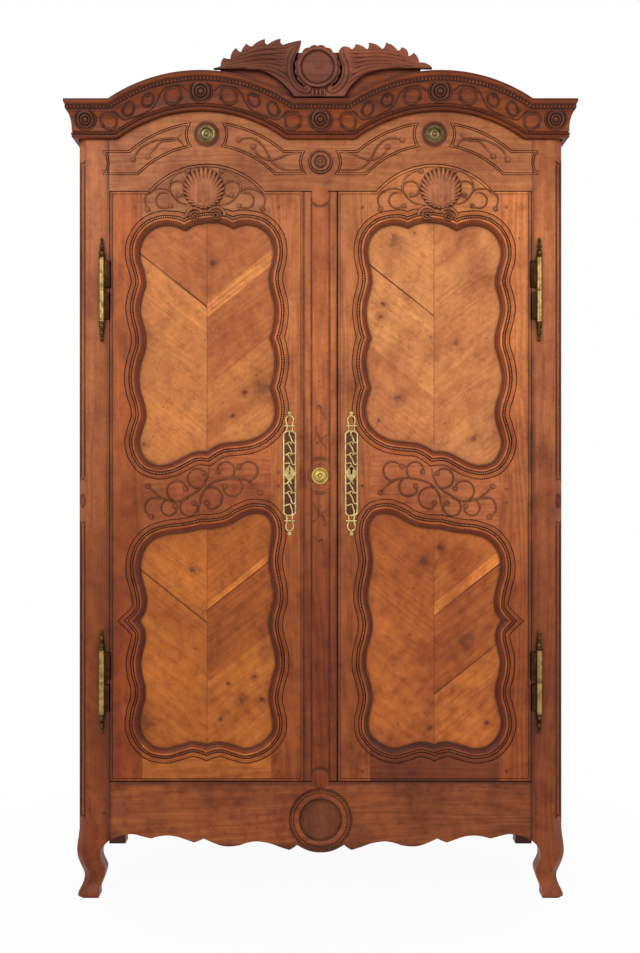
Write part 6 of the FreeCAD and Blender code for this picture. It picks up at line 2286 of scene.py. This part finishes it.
@dataclass
class LockPlate:
    """Pierced brass plate of one door: frame, S-shaped bars, lozenge, necks, rings and ball tips.

    Each hole is given by the radius and level of its round part, and level, width and height of its slots.
    """

    side: Side
    place: Spot = (86.5, 1189.0)
    half_width: float = 16.6
    half_height: float = 118.0
    corner: Spot = (8.0, 7.0)
    bar: float = 3.0
    lozenge: Spot = (18.5, 25.0)
    bar_levels: Line = ((82.6, 56.9), (52.0, 26.4), (-28.3, -52.4), (-55.6, -83.0))
    end_bars: tuple[Line, ...] = (
        ((0.0, 117.0), (-1.5, 109.0), (1.5, 104.0), (4.0, 98.0), (7.0, 90.0), (10.5, 86.0), (17.6, 85.9)),
        ((-17.6, 28.0), (-9.0, 28.0), (-3.0, 29.5), (0.0, 25.0)),
        ((-17.6, -89.4), (-9.0, -89.4), (-3.5, -87.0), (0.5, -86.5), (3.0, -91.0), (6.0, -101.0),
         (8.0, -110.0), (5.0, -118.0)),
    )
    neck: Line = ((8.8, 0.0), (7.8, 8.0), (7.4, 16.0), (9.4, 24.0), (10.6, 31.0), (8.6, 38.0),
                  (4.6, 42.0), (0.0, 44.0))
    tip: float = 50.5
    thickness: float = 2.2
    keyhole: tuple[float, float, tuple[Triple, ...]] = (5.0, 13.0, ((5.0, 5.0, 16.0),))
    sham_hole: tuple[float, float, tuple[Triple, ...]] = (2.4, 15.0, ((6.0, 2.2, 19.0), (9.5, 8.0, 2.2),
                                                                      (1.0, 9.0, 2.2)))

    def build(self) -> None:
        """Build and dress the plate in place of its solid."""
        node = f"{self.side.word}_door_lock_plate"
        x, z = self.side.value * self.place[0], self.place[1]
        whole = joined(node + "_pierced", self.flat_bars(), self.lozenge_piece())
        whole.data.transform(at((x, z), FRONT - 0.05 * MM))
        settle(whole, PLATE_BRASS, self.side.door, node)
        # Dark blocks behind the openings of the plate: painted shade of the plate on the stile, with some
        # soil.
        wide, end = 2 * self.half_width, self.half_height - 2
        blocks = [block("dirt", (x, FRONT / MM, z + (low + high) / 2), (wide, 0.5, high - low))
                  for low, high in ((17.0, end), (-end, -17.0))]
        dirt = replace(STILE, name="dirt_behind_plate", tone=(0.24, 0.18, 0.17), sunk=None, grime=())
        settle(joined(node + "_dirt", *blocks), dirt, self.side.door)

    def flat_bars(self) -> Piece:
        """Frame, bars, necks and tips, as flattened rods.

        Returns:
            The mesh object.
        """
        w, h = self.half_width, self.half_height
        u, v = self.corner
        half = self.bar * MM
        outline = ((-w, v - h), (-w, h - v), (u - w, h), (w - u, h), (w, h - v), (w, v - h), (w - u, -h),
                   (u - w, -h))
        lines = [Stem(outline, half, closed=True, straight=True)]
        lines += [Stem(spots, 0.8 * half, 1.0) for spots in self.end_bars]
        for left, right in self.bar_levels:
            hook = ((-w, left), (-8.0, left), (-4.0, left + 3.5), (1.0, left + 5.0), (4.5, left + 2.0),
                    (3.5, left - 2.0))
            arm = ((-5.0, left + 1.0), (-2.5, left - 5.0), (2.0, left - 12.0), (5.5, right + 3.5),
                   (9.0, right - 2.0), (w, right))
            lines += [Stem(hook, 0.75 * half, 1.0), Stem(arm, 0.75 * half, 1.0)]
        for way in (1, -1):
            level = way * (h + 15)
            lines.append(Stem(((-15.5, level), (0, level), (15.5, level)), 1.05 * half, 1.0))
            for side in (-1, 1):
                lines.append(Stem(tuple((side * a, way * (h + b)) for a, b in self.neck), 0.9 * half, 0.8))
                ear = ((side * 9.5, way * (h + 27)), (side * 13.0, way * (h + 29)))
                lines.append(Stem(ear, 0.8 * half, 0.8))
        bars = carved_lines("plate_bars", lines, on_plane(0.0), 2)
        ball = bud_shape(6.2)
        tips = scattered("plate_tips", ball, [at((0.0, way * (h + self.tip))) for way in (1, -1)])
        discard(ball)
        smooth(tips, 50)
        whole = joined("plate_bars", bars, tips)
        for vertex in whole.data.vertices:
            vertex.co.y = max(-1.0, min(0.0, vertex.co.y / half)) * self.thickness * MM
        outward(whole)
        return whole

    def lozenge_piece(self) -> Piece:
        """Lozenge with a keyhole on the right door and a cross-shaped sham hole on the left one.

        Returns:
            The mesh object.
        """
        u, v = self.lozenge
        rings = [(1.0, 0.0), (1.0, 0.7), (0.93, 1.0), (0.80, 0.85), (0.0, 0.85)]
        piece = lathe("lozenge", rings, 4, v * MM, 2.4 * MM)
        piece.data.transform(Matrix.Diagonal((u / v, 1.0, 1.0, 1.0)))
        radius, level, slots = self.keyhole if self.side is Side.RIGHT else self.sham_hole
        clear()
        bpy.ops.mesh.primitive_cylinder_add(vertices=20, radius=radius * MM, depth=12 * MM,
                                            location=(0, 0, level * MM), rotation=FACE_ON)
        bits = [added("round_hole")]
        bits += [block("slot", (0, 0, z), (wide, 12, tall)) for z, wide, tall in slots]
        cutter = joined("keyhole", *bits)
        cut(piece, cutter, use_self=True)
        discard(cutter)
        smooth(piece, 30)
        return piece


@dataclass
class Hinges:
    """Lift-off hinges: brass knuckles with turned bronze finials and necks painted dark as shadow, the lower
    halves on the posts.
    """

    axis: Spot = (-611.2, -253.6)
    levels: tuple[float, ...] = (606.0, 1702.0)
    radius: float = 8.2
    knuckle: float = 89.0
    gap: float = 0.4
    neck_span: Spot = (8.0, 81.0)
    finial: Line = ((8.2, 0.0), (8.6, 1.2), (8.6, 3.6), (7.0, 5.0), (6.2, 7.0), (7.4, 9.5), (8.0, 13.0),
                    (7.4, 16.5), (5.0, 19.5), (4.4, 21.0), (6.4, 22.5), (6.6, 24.0), (4.6, 25.6),
                    (4.2, 27.0), (5.8, 30.0), (6.2, 33.0), (5.4, 36.4), (3.4, 38.6), (3.0, 40.0),
                    (4.6, 41.4), (4.4, 42.8), (2.8, 44.2), (3.6, 46.6), (4.4, 49.6), (3.8, 53.0),
                    (1.8, 55.8), (0.0, 56.8))

    def build(self) -> None:
        """Build and dress the halves of all four hinges."""
        lower = self.halves(-1)
        upper = self.halves(1)
        # The necks take the dark brown of painted shadow.
        for kind, finish in (("knuckles", BRASS), ("finials", BRONZE), ("necks", SHADED_NECK)):
            post = joined(f"post_hinge_{kind}", lower[kind], mirrored(lower[kind], "right_half"))
            left, right = upper[kind], mirrored(upper[kind], f"right_door_hinge_{kind}")
            left.name = f"left_door_hinge_{kind}"
            for piece, body, node in ((post, Body.CASE, "post_hinge_halves"),
                                      (left, Body.LEFT_DOOR, "left_door_hinge_halves"),
                                      (right, Body.RIGHT_DOOR, "right_door_hinge_halves")):
                settle(piece, finish, body, *((node,) if kind == "knuckles" else ()))

    def halves(self, way: int) -> dict[str, Piece]:
        """Knuckles, finials and necks of the left hinges.

        Args:
            way: 1 for the upper halves, -1 for the lower ones.

        Returns:
            One mesh of each kind.
        """
        r, end = self.radius, self.knuckle
        first = 0.0 if way == 1 else self.gap
        profile = [(r - 0.7, first), (r, first + 0.7), (r, end - 6.0), (r - 0.6, end - 5.4),
                   (r - 0.6, end - 4.6), (r, end - 4.0), (r, end - 0.8), (r - 0.8, end), (0.0, end)]
        turn = Matrix.Rotation(-way * math.pi / 2, 4, "X")
        x, y = self.axis
        places = [at((x, level), y * MM) for level in self.levels]
        knuckle = lathe("knuckle", profile, 24)
        vase = lathe("finial", self.finial, 20)
        lift = at((0.0, way * end))
        made = {"knuckles": scattered("knuckles", knuckle, [place @ turn for place in places]),
                "finials": scattered("finials", vase, [place @ lift @ turn for place in places]),
                "necks": joined("necks", *[self.neck(way, level) for level in self.levels])}
        discard(knuckle, vase)
        for piece in made.values():
            smooth(piece, 40)
        return made

    def neck(self, way: int, level: float) -> Piece:
        """Flat tongue from a knuckle to the wood that carries it.

        Args:
            way: 1 for an upper half, -1 for a lower one.
            level: Level where the halves meet.

        Returns:
            The mesh object.
        """
        x, y = self.axis
        wide = 22.7 if way == 1 else 20.2
        front = FRONT / MM
        low, high = (level + way * share for share in self.neck_span)
        size = (wide, front - y + 1.0, abs(high - low))
        piece = block("neck", (x + wide / 2, (y + front) / 2, (low + high) / 2), size)
        apply_modifier(piece, "BEVEL", width=0.8 * MM, segments=2)
        return piece


@dataclass
class Locks:
    """Iron lock and bolts behind the doors, which keep their solids."""

    iron_nodes: tuple[str, ...] = ("lock_case", "lock_keeper", "lock_bolt", "left_door_bolt_guides",
                                   "left_door_top_bolt", "left_door_bottom_bolt")

    def build(self) -> None:
        """Dress the iron pieces."""
        for node in self.iron_nodes:
            dress_node(node, IRON)


def main() -> None:
    """Build the armoire, sub-assembly by sub-assembly."""
    logging.basicConfig(level=logging.INFO, format="%(name)s: %(message)s")
    Studio().build()
    frieze = Frieze()
    Case().build(frieze)
    frieze.build()
    Cornice().build()
    Crest().build()
    for side in Side:
        Door(side).build()
        LockPlate(side).build()
    MeetingStrip().build()
    Hinges().build()
    Locks().build()


if __name__ == "__main__":
    main()
